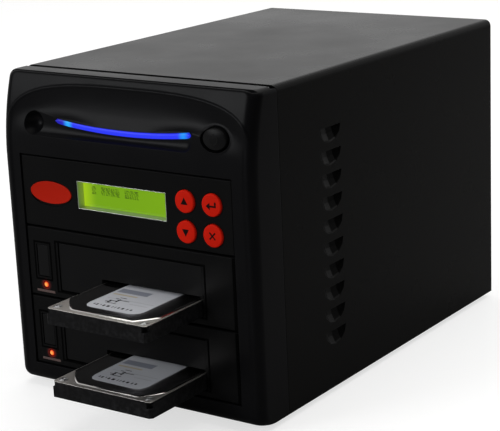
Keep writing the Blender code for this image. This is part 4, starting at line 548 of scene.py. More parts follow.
@dataclass(frozen=True)
class SurfaceFinish(Finish):
    """A painted, moulded or plated surface with grain, slow variation, worn edges and dust."""

    colour: Point
    second: Point
    roughness: float
    rough_spread: float = 0.08
    metallic: float = 0.0
    specular: float = 0.5
    ior: float = 1.5
    fineness: float = 2500.0
    depth: float = 0.00002
    cloud_size: float = 30.0
    wear: float = 0.0
    wear_colour: Point = (0.3, 0.3, 0.3)
    dust: float = 0.0
    dust_colour: Point = (0.25, 0.24, 0.22)
    edge: float = 0.0004

    def material(self) -> Material:
        """Build the material, with edges that are rounded where light meets them.

        Returns:
            The material.
        """
        shading = Shading(self.name)
        grain = shading.group(fine_grain, {"Fineness": self.fineness, "Cloud size": self.cloud_size})
        colour = shading.mix(grain["Cloud"], self.colour, self.second)
        for maker, amount, layer in (
            (edge_wear, self.wear, self.wear_colour), (settled_dust, self.dust, self.dust_colour)
        ):
            if amount > 0:
                colour = shading.mix(shading.group(maker, {"Amount": amount})["Mask"], colour, layer)
        smoothest, roughest = self.roughness - self.rough_spread, self.roughness + self.rough_spread
        rounded = shading.add("Bevel", {"Radius": self.edge}, samples=4)["Normal"]
        bump = {"Strength": 1.0, "Distance": self.depth, "Height": grain["Height"], "Normal": rounded}
        shading.fill(shading.shader, {
            "Base Color": colour, "Roughness": shading.fade(grain["Cloud"], 0.0, 1.0, smoothest, roughest),
            "Metallic": self.metallic, "Specular IOR Level": self.specular, "IOR": self.ior,
            "Normal": shading.add("Bump", bump)["Normal"],
        })
        return shading.material


@dataclass(frozen=True)
class BlueGlow(Finish):
    """The light pipe: blue, paler along its middle, with a dim left tail and two cyan spots.

    Each spot is the place of its middle along the pipe, its reach and its colour.
    """

    name: str = "blue_light_pipe"
    core: Point = (0.024, 0.040, 0.90)
    edge: Point = (0.007, 0.007, 0.44)
    base: Point = (0.004, 0.006, 0.06)
    facing: Flat = (-0.45, -0.98)
    bead_scale: float = 420.0
    spots: tuple[tuple[float, float, Point], ...] = (
        (-0.0455, 0.0126, (0.012, 0.008, 0.42)), (-0.0390, 0.0042, (0.020, 0.42, 1.0)),
        (0.0420, 0.0042, (0.012, 0.29, 0.9)),
    )

    def material(self) -> Material:
        """Build the glowing material.

        Returns:
            The material.
        """
        shading = Shading(self.name)
        across = shading.split(shading.place())["X"]
        normal = shading.split(shading.add("NewGeometry")["Normal"])["Y"]
        colour = shading.mix(shading.fade(normal, *self.facing, soft=True), self.edge, self.core)
        colour = shading.mix(shading.noise(self.bead_scale), colour, self.core)
        for centre, reach, shade in self.spots:
            away = shading.calc("ABSOLUTE", shading.calc("SUBTRACT", across, centre))
            colour = shading.mix(shading.fade(away, reach, 0.0, soft=True), colour, shade)
        return shading.shine(colour, self.base, 0.3)


@dataclass(frozen=True)
class LitDisplay(Finish):
    """The display's lit window: yellow-green, brighter at its left end where its lamp shines in."""

    left: float
    right: float
    plain: Point = (0.165, 0.352, 0.005)
    far: Point = (0.192, 0.39, 0.005)
    bright: Point = (0.34, 0.56, 0.013)
    base: Point = (0.01, 0.02, 0.002)
    haze_scale: float = 60.0
    lamp_share: float = 0.10

    def material(self) -> Material:
        """Build the material for the window between its left and right edges.

        Returns:
            The material.
        """
        shading = Shading(self.name)
        lit = (self.right - self.left) * self.lamp_share
        across = shading.split(shading.place())["X"]
        lamp = shading.fade(across, self.left + 2 * lit, self.left + lit / 2, soft=True)
        farther = shading.fade(across, (self.left + self.right) / 2, self.right)
        colour = shading.mix(farther, self.plain, self.far)
        colour = shading.mix(shading.noise(self.haze_scale), colour, self.plain)
        return shading.shine(shading.mix(lamp, colour, self.bright), self.base, 0.15)


@dataclass(frozen=True)
class LensGlow(Finish):
    """A small lamp about its centre in case axes: pale orange, then red, then dark around it; the same glow
    is also painted on the face round the lens.
    """

    centre: Flat
    core: Point = (1.0, 0.42, 0.09)
    base: Point = (0.02, 0.002, 0.002)
    bands: tuple[tuple[float, float, Point], ...] = (
        (0.00054, 0.0017, (0.9, 0.022, 0.003)), (0.00102, 0.0030, (0.004, 0.0008, 0.001)),
    )

    def material(self) -> Material:
        """Build the glow, whose bands fade in from one radius to another.

        Returns:
            The material.
        """
        shading = Shading(self.name)
        place = shading.split(shading.place())
        flat = shading.add("CombineXYZ", {"X": place["X"], "Z": place["Z"]})[0]
        middle = (self.centre[0], 0.0, self.centre[1] + CASE_FLOOR)
        away = shading.add("VectorMath", {0: flat, 1: middle}, operation="DISTANCE")["Value"]
        colour: object = self.core
        for start, end, shade in self.bands:
            colour = shading.mix(shading.fade(away, start, end, soft=True), colour, shade)
        return shading.shine(colour, self.base, 0.3)


def plastic(
    name: str, colour: Point, second: Point, roughness: float, wear: float, **more: object
) -> SurfaceFinish:
    """A black moulded finish with faint grain, barely worn and nearly free of dust."""
    values = {"fineness": 3000.0, "depth": 0.00001, "wear": 0.02, "wear_colour": (wear,) * 3, "dust": 0.004}
    return SurfaceFinish(name, colour, second, roughness, dust_colour=(0.08,) * 3, **{**values, **more})


def print_on(
    name: str, colour: Point, second: Point, roughness: float = 0.5, **more: object
) -> SurfaceFinish:
    """A thin printed or moulded mark."""
    return SurfaceFinish(name, colour, second, roughness, **{"depth": 0.000003, **more})


class Finishes:
    """Every finish of the machine, by the name of what wears it."""

    BEZEL = plastic(
        "moulded_front", (0.0026, 0.0026, 0.0030), (0.0036, 0.0036, 0.0041), 0.34, 0.012, ior=1.125,
        fineness=2200.0, edge=0.0005,
    )
    MODULE = plastic(
        "moulded_bay_face", (0.0024, 0.0024, 0.0025), (0.0036, 0.0036, 0.0037), 0.42, 0.010, ior=1.12
    )
    FLAP = plastic(
        "moulded_flap", (0.0046, 0.0046, 0.0048), (0.0062, 0.0062, 0.0064), 0.45, 0.014, ior=1.12
    )
    # Painted shade: a near-black matte sheet laid over gaps and edges where only shadow falls.
    SHADOW_GAP = SurfaceFinish(
        "shadow_gap", (0.0010,) * 3, (0.0016,) * 3, 0.7, ior=1.05, fineness=3000.0, depth=0.000005,
        edge=0.0001,
    )
    COVER = SurfaceFinish(
        "powder_coat", (0.0018, 0.00175, 0.0017), (0.0028, 0.0027, 0.0026), 0.28, ior=1.11,
        fineness=1500.0, depth=0.000012, cloud_size=18.0, wear=0.03, wear_colour=(0.03,) * 3, dust=0.004,
        dust_colour=(0.1,) * 3, edge=0.0005,
    )
    STEEL = SurfaceFinish(
        "plated_steel", (0.42, 0.42, 0.43), (0.55, 0.55, 0.56), 0.34, metallic=1.0, fineness=900.0,
        depth=0.000008, wear=0.1, wear_colour=(0.7,) * 3, dust=0.05,
    )
    SILVER = SurfaceFinish(
        "window_liner", (0.46, 0.47, 0.46), (0.58, 0.59, 0.58), 0.34, metallic=0.85, fineness=1800.0,
        depth=0.000004,
    )
    BADGE = SurfaceFinish(
        "badge_enamel", (0.36, 0.0095, 0.0022), (0.42, 0.0115, 0.0028), 0.4, ior=1.12, fineness=1500.0,
        depth=0.000005,
    )
    KEYS = SurfaceFinish(
        "key_rubber", (0.50, 0.0085, 0.0016), (0.56, 0.0105, 0.0022), 0.5, ior=1.12, fineness=2600.0,
        depth=0.000006,
    )
    INK = print_on(
        "printed_black", (0.006, 0.003, 0.003), (0.010, 0.005, 0.005), 0.6, ior=1.1, depth=0.000004
    )
    GLYPH = print_on(
        "display_dots", (0.035, 0.085, 0.004), (0.05, 0.11, 0.006), 0.3, specular=0.1, depth=0.000002
    )
    BOARD = SurfaceFinish(
        "circuit_board", (0.008, 0.09, 0.03), (0.02, 0.16, 0.06), 0.42, fineness=700.0, depth=0.00001,
        cloud_size=260.0, edge=0.0002,
    )
    CASTING = SurfaceFinish(
        "coated_casting", (0.0030, 0.0030, 0.0032), (0.0050, 0.0050, 0.0053), 0.42, ior=1.15,
        fineness=1200.0, depth=0.00001, cloud_size=120.0, wear=0.08, wear_colour=(0.10, 0.10, 0.105),
        edge=0.0003,
    )
    LID = SurfaceFinish(
        "stamped_lid", (0.48, 0.46, 0.45), (0.56, 0.54, 0.53), 0.16, rough_spread=0.03, metallic=1.0,
        fineness=500.0, depth=0.000002, cloud_size=45.0, edge=0.0003,
    )
    RIM = SurfaceFinish(
        "brushed_lid_border", (0.40, 0.38, 0.36), (0.47, 0.45, 0.43), 0.52, rough_spread=0.05, metallic=1.0,
        fineness=900.0, depth=0.000003, edge=0.0002,
    )
    LABEL = print_on(
        "paper_label", (0.45, 0.462, 0.497), (0.50, 0.512, 0.545), 0.55, specular=0.2, fineness=1500.0
    )
    LABEL_BLUE = print_on("printed_grey_blue", (0.20, 0.215, 0.26), (0.25, 0.265, 0.31), specular=0.2)
    LABEL_GREY = print_on("printed_grey", (0.30, 0.31, 0.33), (0.36, 0.37, 0.39), specular=0.2)
    LABEL_TAN = print_on("printed_tan", (0.40, 0.34, 0.22), (0.45, 0.38, 0.26), specular=0.2)
    BLACK = SurfaceFinish(
        "black_plastic_part", (0.0040, 0.0040, 0.0042), (0.0062, 0.0062, 0.0064), 0.36, ior=1.14,
        fineness=2400.0, depth=0.000008,
    )
    RUBBER = SurfaceFinish(
        "foot_rubber", (0.010,) * 3, (0.02,) * 3, 0.8, specular=0.2, fineness=1200.0, depth=0.00005,
        dust=0.1,
    )
    CABLE = SurfaceFinish(
        "cable_jacket", (0.35, 0.012, 0.010), (0.45, 0.02, 0.015), 0.45, fineness=1500.0, depth=0.00001
    )
    LEGEND = print_on("printed_legend", (0.085, 0.055, 0.050), (0.11, 0.075, 0.07), specular=0.1)
    FAINT = print_on("moulded_mark", (0.010,) * 3, (0.014,) * 3, ior=1.14)


# Sub-assemblies


def ease(value: float, start: float, end: float) -> float:
    """A smooth step from 0 at the start to 1 at the end."""
    share = min(max((value - start) / (end - start), 0.0), 1.0)
    return share * share * (3 - 2 * share)


def window(low: Point, high: Point, inset: float, y: float) -> list[Point]:
    """The rectangle of a box seen from the front, moved inwards by an amount."""
    a, b, c, d = low[0] + inset, high[0] - inset, low[2] + inset, high[2] - inset
    return [(a, y, c), (b, y, c), (b, y, d), (a, y, d)]



@dataclass
class Bezel:
    """The moulded front with its arch, cove, ledge, scoop and button ring."""

    depth: float = 0.027
    top_depth: float = 0.018
    corner: float = 0.0070
    sweep_start: float = 0.135
    chin: float = 0.007
    top_edge: float = 0.0012
    side_edge: float = 0.004
    wall: float = 0.0025
    brow_wall: float = 0.013
    arch_shift: float = 0.0015
    arch_half: float = 0.0835
    arch_crown: float = 0.1794
    arch_spring: float = 0.1492
    arch_power: float = 3.2
    arch_probe: float = 0.0002
    high_band: Flat = (0.150, 0.166)
    foot_band: Flat = (0.004, 0.012)
    side_ridge: float = 0.0007
    ridge_width: float = 0.0022
    crease_slope: float = 0.30
    crease_reach: float = 0.025
    bead: float = 0.00045
    bead_width: float = 0.0018
    opening_half: float = 0.0747
    opening_low: float = 0.0115
    opening_high: float = 0.1388
    smile_height: float = 0.158
    smile_rise: float = 0.0110
    smile_left: float = 0.064
    smile_right: float = 0.050
    lip_height: float = 0.150
    pocket_depth: float = 0.0042
    pocket_end: float = 0.006
    pocket_least: float = 0.05
    step_share: float = 0.6
    pipe_left: float = 0.048
    pipe_right: float = 0.0465
    pipe_height: float = 0.0034
    pipe_proud: float = 0.0012
    pipe_length: float = 0.0075
    pipe_taper: float = 0.03
    pipe_nose: float = 0.8
    lip_drop: float = 0.0006
    scoop_x: float = -0.064
    scoop_z: float = 0.1576
    scoop_radius: float = 0.0074
    scoop_depth: float = 0.0075
    scoop_power: float = 2.4
    power_z: float = 0.159
    power_radius: float = 0.0080
    power_squash: float = 0.77
    power_ring: float = 0.0013
    power_ring_depth: float = 0.0014
    power_rim: float = 0.0009
    power_slope: float = 0.7
    brow_rows_from: float = 0.138
    seam_end: float = 0.0044
    seam_depth: float = 0.0015
    edge_line_start: float = 0.0150
    edge_line_end: float = 0.0174
    edge_line_depth: float = 0.0014

    def front(self, z: float) -> float:
        """Y of the plain front face at a height.

        Args:
            z: height.

        Returns:
            The place from front to rear.
        """
        if z > self.sweep_start:
            rise, back = CASE_HEIGHT - self.sweep_start, self.depth - self.top_depth
            radius = (rise * rise + back * back) / (2 * back)
            above = z - self.sweep_start
            y = -self.depth + radius - math.sqrt(radius * radius - above * above)
        elif z < self.chin:
            drop = self.chin - z
            y = -self.depth + self.chin - math.sqrt(max(self.chin ** 2 - drop * drop, 0.0))
        else:
            y = -self.depth
        over = z - (CASE_HEIGHT - self.top_edge)
        if over > 0:
            y += self.top_edge - math.sqrt(max(self.top_edge ** 2 - over * over, 0.0))
        return y

    def half_width(self, z: float) -> float:
        """Half the width at a height, with the same top bends as the cover.

        Args:
            z: height.

        Returns:
            Half the width.
        """
        over = z - (CASE_HEIGHT - self.side_edge)
        half = CASE_WIDTH / 2
        if over <= 0:
            return half
        return half - self.side_edge + math.sqrt(max(self.side_edge ** 2 - over * over, 0.0))

    def inside_arch(self, x: float, z: float) -> float:
        """How far a point lies inside the arch line, in metres; below zero is outside.

        Args:
            x: place across the front.
            z: height.

        Returns:
            The distance.
        """
        power, step = self.arch_power, self.arch_probe

        def level(a: float, b: float) -> float:
            """1 in the middle of the arch, 0 on its line.

            Args:
                a: place across the front.
                b: height.

            Returns:
                The level.
            """
            aside = abs(a - self.arch_shift) / self.arch_half
            up = max(b - self.arch_spring, 0.0) / (self.arch_crown - self.arch_spring)
            return 1 - (aside ** power + up ** power) ** (1 / power)

        here = level(x, z)
        slope = math.hypot(level(x + step, z) - here, level(x, z + step) - here) / step
        return here / max(slope, 1e-6)

    def relief(self, x: float, z: float) -> float:
        """How far the face is set in from its plain sweep at a point of the front view.

        Args:
            x: place across the front.
            z: height.

        Returns:
            The depth.
        """
        inside = self.inside_arch(x, z)
        high = ease(z, *self.high_band)
        depth = self.side_ridge * ease(inside, 0.0, self.ridge_width) * (1 - high)
        if 0 < inside < self.crease_reach:
            depth += high * self.crease_slope * inside * (1 - inside / self.crease_reach)
        elif -self.bead_width < inside < 0:
            depth -= high * self.bead * math.sin(-math.pi * inside / self.bead_width)
        reach = math.hypot(x + self.scoop_x, (z - self.power_z) / self.power_squash)
        around = reach - self.power_radius - self.power_ring
        if abs(around) < self.power_rim:
            depth -= self.power_rim / 3 * (1 + math.cos(math.pi * around / self.power_rim)) / 2
        return depth * ease(z, *self.foot_band)

    def ring(self, z: float, inset: float, back: float, fine: bool) -> list[Point]:
        """The outline at a height, seen from above.

        Args:
            z: the height.
            inset: how far it is moved inwards.
            back: y of its rear edge.
            fine: whether it carries the relief and close columns.

        Returns:
            Its points in order.
        """
        half, front = self.half_width(z) - inset, self.front(z) + inset
        radius = self.corner - inset
        steps = 18 if fine else 6
        columns: list[tuple[float, float, float, float]] = []
        for step in range(steps + 1):
            turn = math.radians(90 * step / steps)
            columns.append((
                -half + radius - radius * math.cos(turn), front + radius - radius * math.sin(turn),
                math.cos(turn), math.sin(turn),
            ))
        flat = half - radius
        across = 240 if fine else 1
        middle = [(-flat + 2 * flat * s / across, front, 0.0, 1.0) for s in range(1, across)]
        right = [(-x, y, -a, b) for x, y, a, b in reversed(columns)]
        outline = [(-half, back)]
        for x, y, inward_x, inward_y in columns + middle + right:
            deep = self.relief(x, z) if fine else 0.0
            outline.append((x + inward_x * deep, y + inward_y * deep))
        outline.append((half, back))
        return [(x, y, z) for x, y in outline]

    def heights(self) -> list[float]:
        """Rows of the moulded face, close together in the brow.

        Returns:
            Heights from the bottom up.
        """
        chin = [self.chin * (1 - math.cos(math.radians(90 * s / 8))) for s in range(9)]
        start = self.brow_rows_from
        plain = [self.chin + (start - self.chin) * s / 12 for s in range(1, 13)]
        top = CASE_HEIGHT - self.side_edge
        brow = [start + (top - start) * s / 100 for s in range(1, 101)]
        bend = [top + self.side_edge * math.sin(math.radians(90 * s / 9)) for s in range(1, 10)]
        return chin + plain + brow + bend

    def smile(self, x: float) -> float:
        """Height of the ledge's upper edge."""
        return self.smile_height + self.smile_rise * (2 * x / CASE_WIDTH) ** 2

    def pocket(self) -> Piece:
        """The cutter of the ledge under the light pipe.

        Returns:
            The cutter.
        """
        rings = []
        out = -self.depth - self.wall
        steps = 72
        for step in range(steps + 1):
            x = -self.smile_left + (self.smile_left + self.smile_right) * step / steps
            near_end = max(x - (self.smile_right - self.pocket_end), 0.0) / self.pocket_end
            share = max(math.sqrt(max(1 - near_end * near_end, 0.0)), self.pocket_least)
            top = self.smile(x)
            lip = top - (top - self.lip_height) * share
            front = self.front(self.lip_height)
            deep = front + self.pocket_depth * share
            step_up = top - min(self.pipe_height + 3 * GAP, (top - lip) * self.step_share)
            bowl = [
                (x, front + (deep - front) * math.sin(turn), lip + (step_up - lip) * (1 - math.cos(turn)))
                for turn in (math.radians(15 * step) for step in range(7))
            ]
            rings.append([(x, out, lip - self.lip_drop), *bowl, (x, deep, top), (x, out, top)])
        return loft("pocket", rings)

    def pipe_bar(self, name: str, ends: Flat, front: float, back: float, grow: float) -> Piece:
        """A bar that follows the smile line: the light pipe, or the slot that it sits in.

        Args:
            name: the bar's name.
            ends: x of its left and right ends.
            front: y where its rounded nose starts to curve.
            back: y of its rear.
            grow: how much it is taller at its top and bottom than the pipe.

        Returns:
            The bar.
        """
        left, right = ends
        turn = [(math.sin(math.radians(a)), math.cos(math.radians(a))) for a in range(0, 181, 30)]
        nose = self.pipe_proud * self.pipe_nose
        rings = []
        steps = 90
        for step in range(steps + 1):
            x = left + (right - left) * step / steps
            near = min(step, steps - step) / steps
            end = math.sqrt(max(1 - (1 - min(near / self.pipe_taper, 1.0)) ** 2, 0.05))
            high, low = self.smile(x) - GAP + grow, self.smile(x) - GAP - self.pipe_height - grow
            middle, half = (high + low) / 2, (high - low) / 2 * end
            ring = [(x, back, middle - half)]
            ring += [(x, front + nose * (1 - s), middle - half * c) for s, c in turn]
            ring.append((x, back, middle + half))
            rings.append(ring)
        return loft(name, rings)

    def pipe_front(self) -> float:
        """Y of the light pipe's nose."""
        return self.front(self.lip_height) + self.pocket_depth - self.pipe_proud

    def build(self) -> None:
        """Mould the front, cut its openings and lay the light pipe in it."""
        body = loft("moulded_front", [self.ring(z, 0.0, -GAP, True) for z in self.heights()])
        shell = loft("shell", [
            self.ring(z, self.wall, OVERRUN, False)
            for z in (self.chin, self.opening_low, self.sweep_start, self.opening_high - GAP)
        ])
        inner = CASE_WIDTH / 2 - 2 * self.wall
        back = -self.depth + self.brow_wall
        brow = block(
            "brow", (-inner, back, self.opening_high + self.wall), (inner, OVERRUN, CASE_HEIGHT - self.wall)
        )
        opening = block(
            "opening", (-self.opening_half, -self.depth - OVERRUN, self.opening_low),
            (self.opening_half, OVERRUN, self.opening_high),
        )
        cut(body, shell, brow, opening, self.pocket())
        nose = self.pipe_front()
        slot_ends = (-self.pipe_left - GAP, self.pipe_right + GAP)
        cut(body, self.pipe_bar("slot", slot_ends, nose, back + OVERRUN, 0.7 * GAP))
        front = self.front(self.scoop_z)
        profile = [(0.0, front + self.scoop_depth)]
        for step in range(1, 15):
            share = step / 14
            hollow = self.scoop_depth * (1 - share ** self.scoop_power)
            profile.append((self.scoop_radius * share, front + hollow))
        profile.append((self.scoop_radius + 0.0004, front - 0.0012))
        profile.append((self.scoop_radius + 0.0008, front - self.wall))
        scoop = turned("scoop", profile, Axis.Y, (self.scoop_x, self.scoop_z), 72)
        face = self.front(self.power_z) + self.power_ring_depth
        outer = self.power_radius + GAP
        well = turned("well", [
            (outer, back + OVERRUN), (outer, face + self.power_ring_depth),
            (outer + self.power_ring * self.power_slope, face),
            (outer + self.power_ring, -self.depth - OVERRUN),
        ], Axis.Y, (-self.scoop_x, self.power_z), 72, self.power_squash)
        line = block(
            "line", (-CASE_WIDTH, -self.edge_line_end, CASE_HEIGHT - self.edge_line_depth),
            (CASE_WIDTH, -self.edge_line_start, CASE_HEIGHT + OVERRUN)
        )
        seam = block(
            "seam", (-CASE_WIDTH, -self.seam_end, CASE_HEIGHT - self.seam_depth),
            (CASE_WIDTH, OVERRUN, CASE_HEIGHT + OVERRUN)
        )
        cut(body, scoop, well, line, seam)
        show(body, "case", Finishes.BEZEL, ["front_bezel"])
        pipe_ends = (-self.pipe_left, self.pipe_right)
        pipe = self.pipe_bar("glowing_pipe", pipe_ends, nose, nose + self.pipe_length, 0.0)
        show(pipe, "case", BlueGlow(), ["light_pipe"])


@dataclass
class PowerButton:
    """The domed power button with its faint raised mark."""

    x: float = 0.064
    z: float = 0.159
    radius: float = 0.0078
    squash: float = 0.77
    flange: float = 0.0092
    proud: float = 0.0010
    dome: float = 0.0016
    dome_share: float = 0.6
    shoulder: float = 0.0009
    collar: float = 0.0012
    ring_depth: float = 0.0014
    travel: float = 0.0025
    mark: float = 0.0024
    mark_width: float = 0.0004
    mark_height: float = 0.0007
    mark_gap: float = 40.0

    def build(self, bezel: Bezel) -> None:
        """Turn the button and raise its mark.

        Args:
            bezel: the front that it sits in.
        """
        face = bezel.front(self.z) + self.ring_depth - self.proud
        back = -bezel.depth + bezel.brow_wall + GAP
        profile: list[Flat] = [(0.0, face - self.dome)]
        inner = self.radius - self.shoulder
        for step in range(1, 9):
            share = step / 8
            profile.append((inner * share, face - self.dome * (1 - self.dome_share * share * share)))
        for step in range(1, 7):
            turn = math.radians(90 * step / 6)
            profile.append((
                inner + self.shoulder * math.sin(turn),
                face - (1 - self.dome_share) * self.dome + 1.4 * self.shoulder * (1 - math.cos(turn)),
            ))
        profile += [
            (self.radius, back), (self.flange, back), (self.flange, back + self.collar),
            (self.radius / 4, back + self.collar), (self.radius / 4, back + self.collar + self.travel),
            (0.0, back + self.collar + self.travel),
        ]
        cap = turned("power_cap", profile, Axis.Y, (self.x, self.z), 72, self.squash)
        show(cap, "power_button", Finishes.BLACK, ["power_button"])
        front = face - self.dome * 0.98
        outer, tall = self.mark + self.mark_width, self.mark_height
        rings = []
        for step in range(33):
            turn = math.radians(90 + self.mark_gap + (360 - 2 * self.mark_gap) * step / 32)
            rings.append([
                (self.x + r * math.cos(turn), front + y, self.z + r * math.sin(turn))
                for r, y in ((self.mark, tall), (self.mark, 0.0), (outer, 0.0), (outer, tall))
            ])
        bow = loft("bow", rings)
        stem = block(
            "stem", (self.x - self.mark_width / 2, front, self.z + self.mark * 0.2),
            (self.x + self.mark_width / 2, front + 0.0006, self.z + self.mark * 1.3),
        )
        mark = gather("power_mark", [bow, stem])
        show(mark, "power_button", Finishes.FAINT)


@dataclass
class DisplayPanel:
    """The top bay: badge, lit display behind its liner, and four marked keys."""

    key_radius: float = 0.0064
    key_edge: float = 0.0008
    key_crown: float = 0.0001
    key_depth: float = 0.0045
    collar_depth: float = 0.0053
    mark_lift: float = 0.00004
    mark_sink: float = 0.0004
    liner_rim: float = 0.0003
    liner_wall: float = 0.0007
    badge_height: float = 0.0130
    badge_rise: float = 0.0007
    dot: float = 0.00046
    dot_pitch: float = 0.00058
    dot_rise: float = 0.00068
    cell_pitch: float = 0.0034
    first_cell: Flat = (0.0068, 0.0034)
    cells: tuple[int, ...] = (0, 2, 3, 4, 5, 7, 8, 9)
    patterns: tuple[int, ...] = (0b01110, 0b11011, 0b10101, 0b11111, 0b01010, 0b11101, 0b10111, 0b01011)

    def mark(self, key: Key) -> list[Flat]:
        """The outline of a key's mark about its middle: a triangle, a return arrow or a cross.

        Args:
            key: the key.

        Returns:
            Its points in order.
        """
        w, r = 0.0006, 0.0022
        return {
            Key.UP: [(-0.0023, -0.0016), (0.0023, -0.0016), (0.0, 0.0024)],
            Key.DOWN: [(-0.0023, 0.0016), (0.0, -0.0024), (0.0023, 0.0016)],
            Key.ENTER: [
                (0.0032, 0.0019), (0.0022, 0.0019), (0.0022, -0.0001), (-0.0008, -0.0001),
                (-0.0008, 0.0014), (-0.0034, -0.0006), (-0.0008, -0.0026), (-0.0008, -0.0011),
                (0.0032, -0.0011),
            ],
            Key.BACK: [
                (0, w), (r - w, r), (r, r - w), (w, 0), (r, w - r), (r - w, -r), (0, -w), (w - r, -r),
                (-r, w - r), (-w, 0), (-r, r - w), (w - r, r),
            ],
        }[key]

    def key(self, key: Key) -> None:
        """Turn a key with a soft edge and print its mark.

        Args:
            key: the key.
        """
        low, high = case_box(key.value)
        x, z = (low[0] + high[0]) / 2, (low[2] + high[2]) / 2
        face, back, collar = low[1], high[1], (high[0] - low[0]) / 2
        radius, edge = self.key_radius, self.key_edge
        profile: list[Flat] = [(0.0, face), (radius * 0.6, face + self.mark_lift)]
        for step in range(7):
            turn = math.radians(90 * step / 6)
            drop = self.key_crown + edge * (1 - math.cos(turn))
            profile.append((radius - edge + edge * math.sin(turn), face + drop))
        neck, rear = face + self.key_depth, face + self.collar_depth
        profile += [
            (radius, neck), (collar, neck), (collar, rear), (radius / 4, rear), (radius / 4, back),
            (0.0, back),
        ]
        cap = turned(key.value + "_cap", profile, Axis.Y, (x, z), 56)
        show(cap, key.value, Finishes.KEYS, [key.value])
        outline = [(x + a, z + b) for a, b in self.mark(key)]
        mark = prism(key.value + "_mark", outline, Axis.Y, face - self.mark_lift, face + self.mark_sink)
        show(mark, key.value, Finishes.INK)

    def display(self) -> None:
        """Light the glass and set a row of dot cells on it."""
        low, high = case_box("lcd_glass")
        dress(LitDisplay("lit_display", low[0], high[0]), "lcd_glass")
        inner_low, inner_high = case_box("lcd_frame")
        front = low[1] - 0.00003
        left, top = inner_low[0] + self.first_cell[0], inner_high[2] - self.first_cell[1]
        dots: list[tuple[Point, Point]] = []
        for cell in self.cells:
            for row in range(7):
                bits = self.patterns[(cell * 3 + row * 5) % len(self.patterns)]
                for column in range(5):
                    if bits >> column & 1:
                        x = left + cell * self.cell_pitch + column * self.dot_pitch
                        z = top - row * self.dot_rise
                        dots.append(((x, front, z - self.dot), (x + self.dot, front + 0.00002, z)))
        show(blocks("display_dots", dots), "case", Finishes.GLYPH)

    def liner(self) -> None:
        """Fold the thin bright liner whose inner walls run back to the glass."""
        low, high = case_box("lcd_frame")
        front, back = low[1], high[1]
        rings = [window(low, high, inset, y) for inset, y in (
            (0.0, back), (0.0, front + 0.0002), (0.0001, front), (self.liner_rim, front),
            (self.liner_rim + 0.0001, front + 0.0003), (self.liner_wall, back),
        )]
        tube = loft("window_liner", rings, closed=True)
        show(tube, "case", Finishes.SILVER, ["lcd_frame"])

    def badge(self) -> None:
        """Press the bare oval badge."""
        low, high = case_box("oval_badge")
        centre = ((low[0] + high[0]) / 2, (low[2] + high[2]) / 2 + self.badge_rise)
        across, front = high[0] - low[0], low[1]
        rings = [
            [(a, y, b) for a, b in circle(centre, across - 2 * inset, self.badge_height - 2 * inset, 72)]
            for inset, y in (
                (0.0, high[1]), (0.0, front + 0.0002), (0.0003, front), (0.0010, front + 0.00012)
            )
        ]
        show(loft("bare_badge", rings), "case", Finishes.BADGE, ["oval_badge"])

    def build(self) -> None:
        """Dress the panel and build what is finer than its solids."""
        dress(Finishes.MODULE, "lcd_panel")
        self.liner()
        dress(Finishes.BOARD, "lcd_board", "key_board", "controller_board", "light_board")
        dress(Finishes.STEEL, "control_tray")
        dress(Finishes.BLACK, "power_switch")
        self.badge()
        for key in Key:
            self.key(key)
        self.display()


@dataclass
class Rack:
    """One trayless bay: its face, flaps, button and lens, with painted shade in the gaps round them and
    painted glow round the lens.
    """

    level: Level
    seal_width: float = 0.0011
    seal_proud: float = 0.00005
    seal_sink: float = 0.0004
    strip_width: float = 0.0022
    halo_radius: float = 0.0038
    bar_proud: float = 0.00006
    bar_left: float = -0.0698
    bar_right: float = -0.0560
    bar_rows: Flat = (0.0022, 0.0036)

    def seal(self, node: str, front: float) -> Piece:
        """A thin frame of painted shade round a solid, in the plane of the face, where the gap round it
        would be in shadow.

        Args:
            node: the solid.
            front: y of the face.

        Returns:
            The frame.
        """
        low, high = case_box(node)
        near, far = front - self.seal_proud, front + self.seal_sink
        return loft("seal", [
            window(low, high, -GAP - grow, y)
            for grow, y in ((0.0, far), (self.seal_width, far), (self.seal_width, near), (0.0, near))
        ], closed=True)

    def build(self) -> None:
        """Dress the rack, paint shade round its moving pieces and along its right edge, paint glow round
        its lens, and print the small bar under its lens.
        """
        name = self.level.value
        dress(Finishes.MODULE, "rack_housing_" + name, "slot_flap_" + name)
        dress(Finishes.FLAP, "rack_door_" + name)
        dress(Finishes.BLACK, "eject_button_" + name)
        dress(Finishes.BOARD, "backplane_" + name)
        dress(Finishes.CABLE, "data_cable_" + name)
        lens_low, lens_high = case_box("led_lens_" + name)
        centre = ((lens_low[0] + lens_high[0]) / 2, (lens_low[2] + lens_high[2]) / 2)
        glow = LensGlow("lit_lens_" + name, centre)
        dress(glow, "led_lens_" + name)
        low, high = case_box("rack_housing_" + name)
        front, floor = low[1], low[2]
        near = front - self.seal_proud
        # Painted shade: dark frames round the door and the eject button, where their gaps would be in
        # shadow.
        shade_frames = [self.seal(node + name, front) for node in ("rack_door_", "eject_button_")]
        # Painted shade: a dark strip along the face's right edge, where its bend into the bay is in shadow.
        shade_frames.append(block(
            "strip", (high[0] - self.strip_width, near, floor + GAP),
            (high[0] - GAP, front + GAP, high[2] - GAP),
        ))
        show(gather("painted_shade_frames_" + name, shade_frames), "case", Finishes.SHADOW_GAP)
        # Painted glow: a ring of the face round the lens takes the lens's glowing material, standing for
        # its light falling on the face.
        inner = (lens_high[0] - lens_low[0]) / 2 + GAP / 2
        painted_glow = turned("painted_lens_glow_" + name, [
            (inner, front + GAP), (inner, near), (self.halo_radius, front - self.seal_proud / 2),
            (self.halo_radius, front + GAP), (inner, front + GAP),
        ], Axis.Y, centre, 48)
        show(painted_glow, "case", glow)
        bar = block(
            "legend_bar_" + name, (self.bar_left, front - self.bar_proud, floor + self.bar_rows[0]),
            (self.bar_right, front + 0.0002, floor + self.bar_rows[1]),
        )
        show(bar, "case", Finishes.LEGEND)


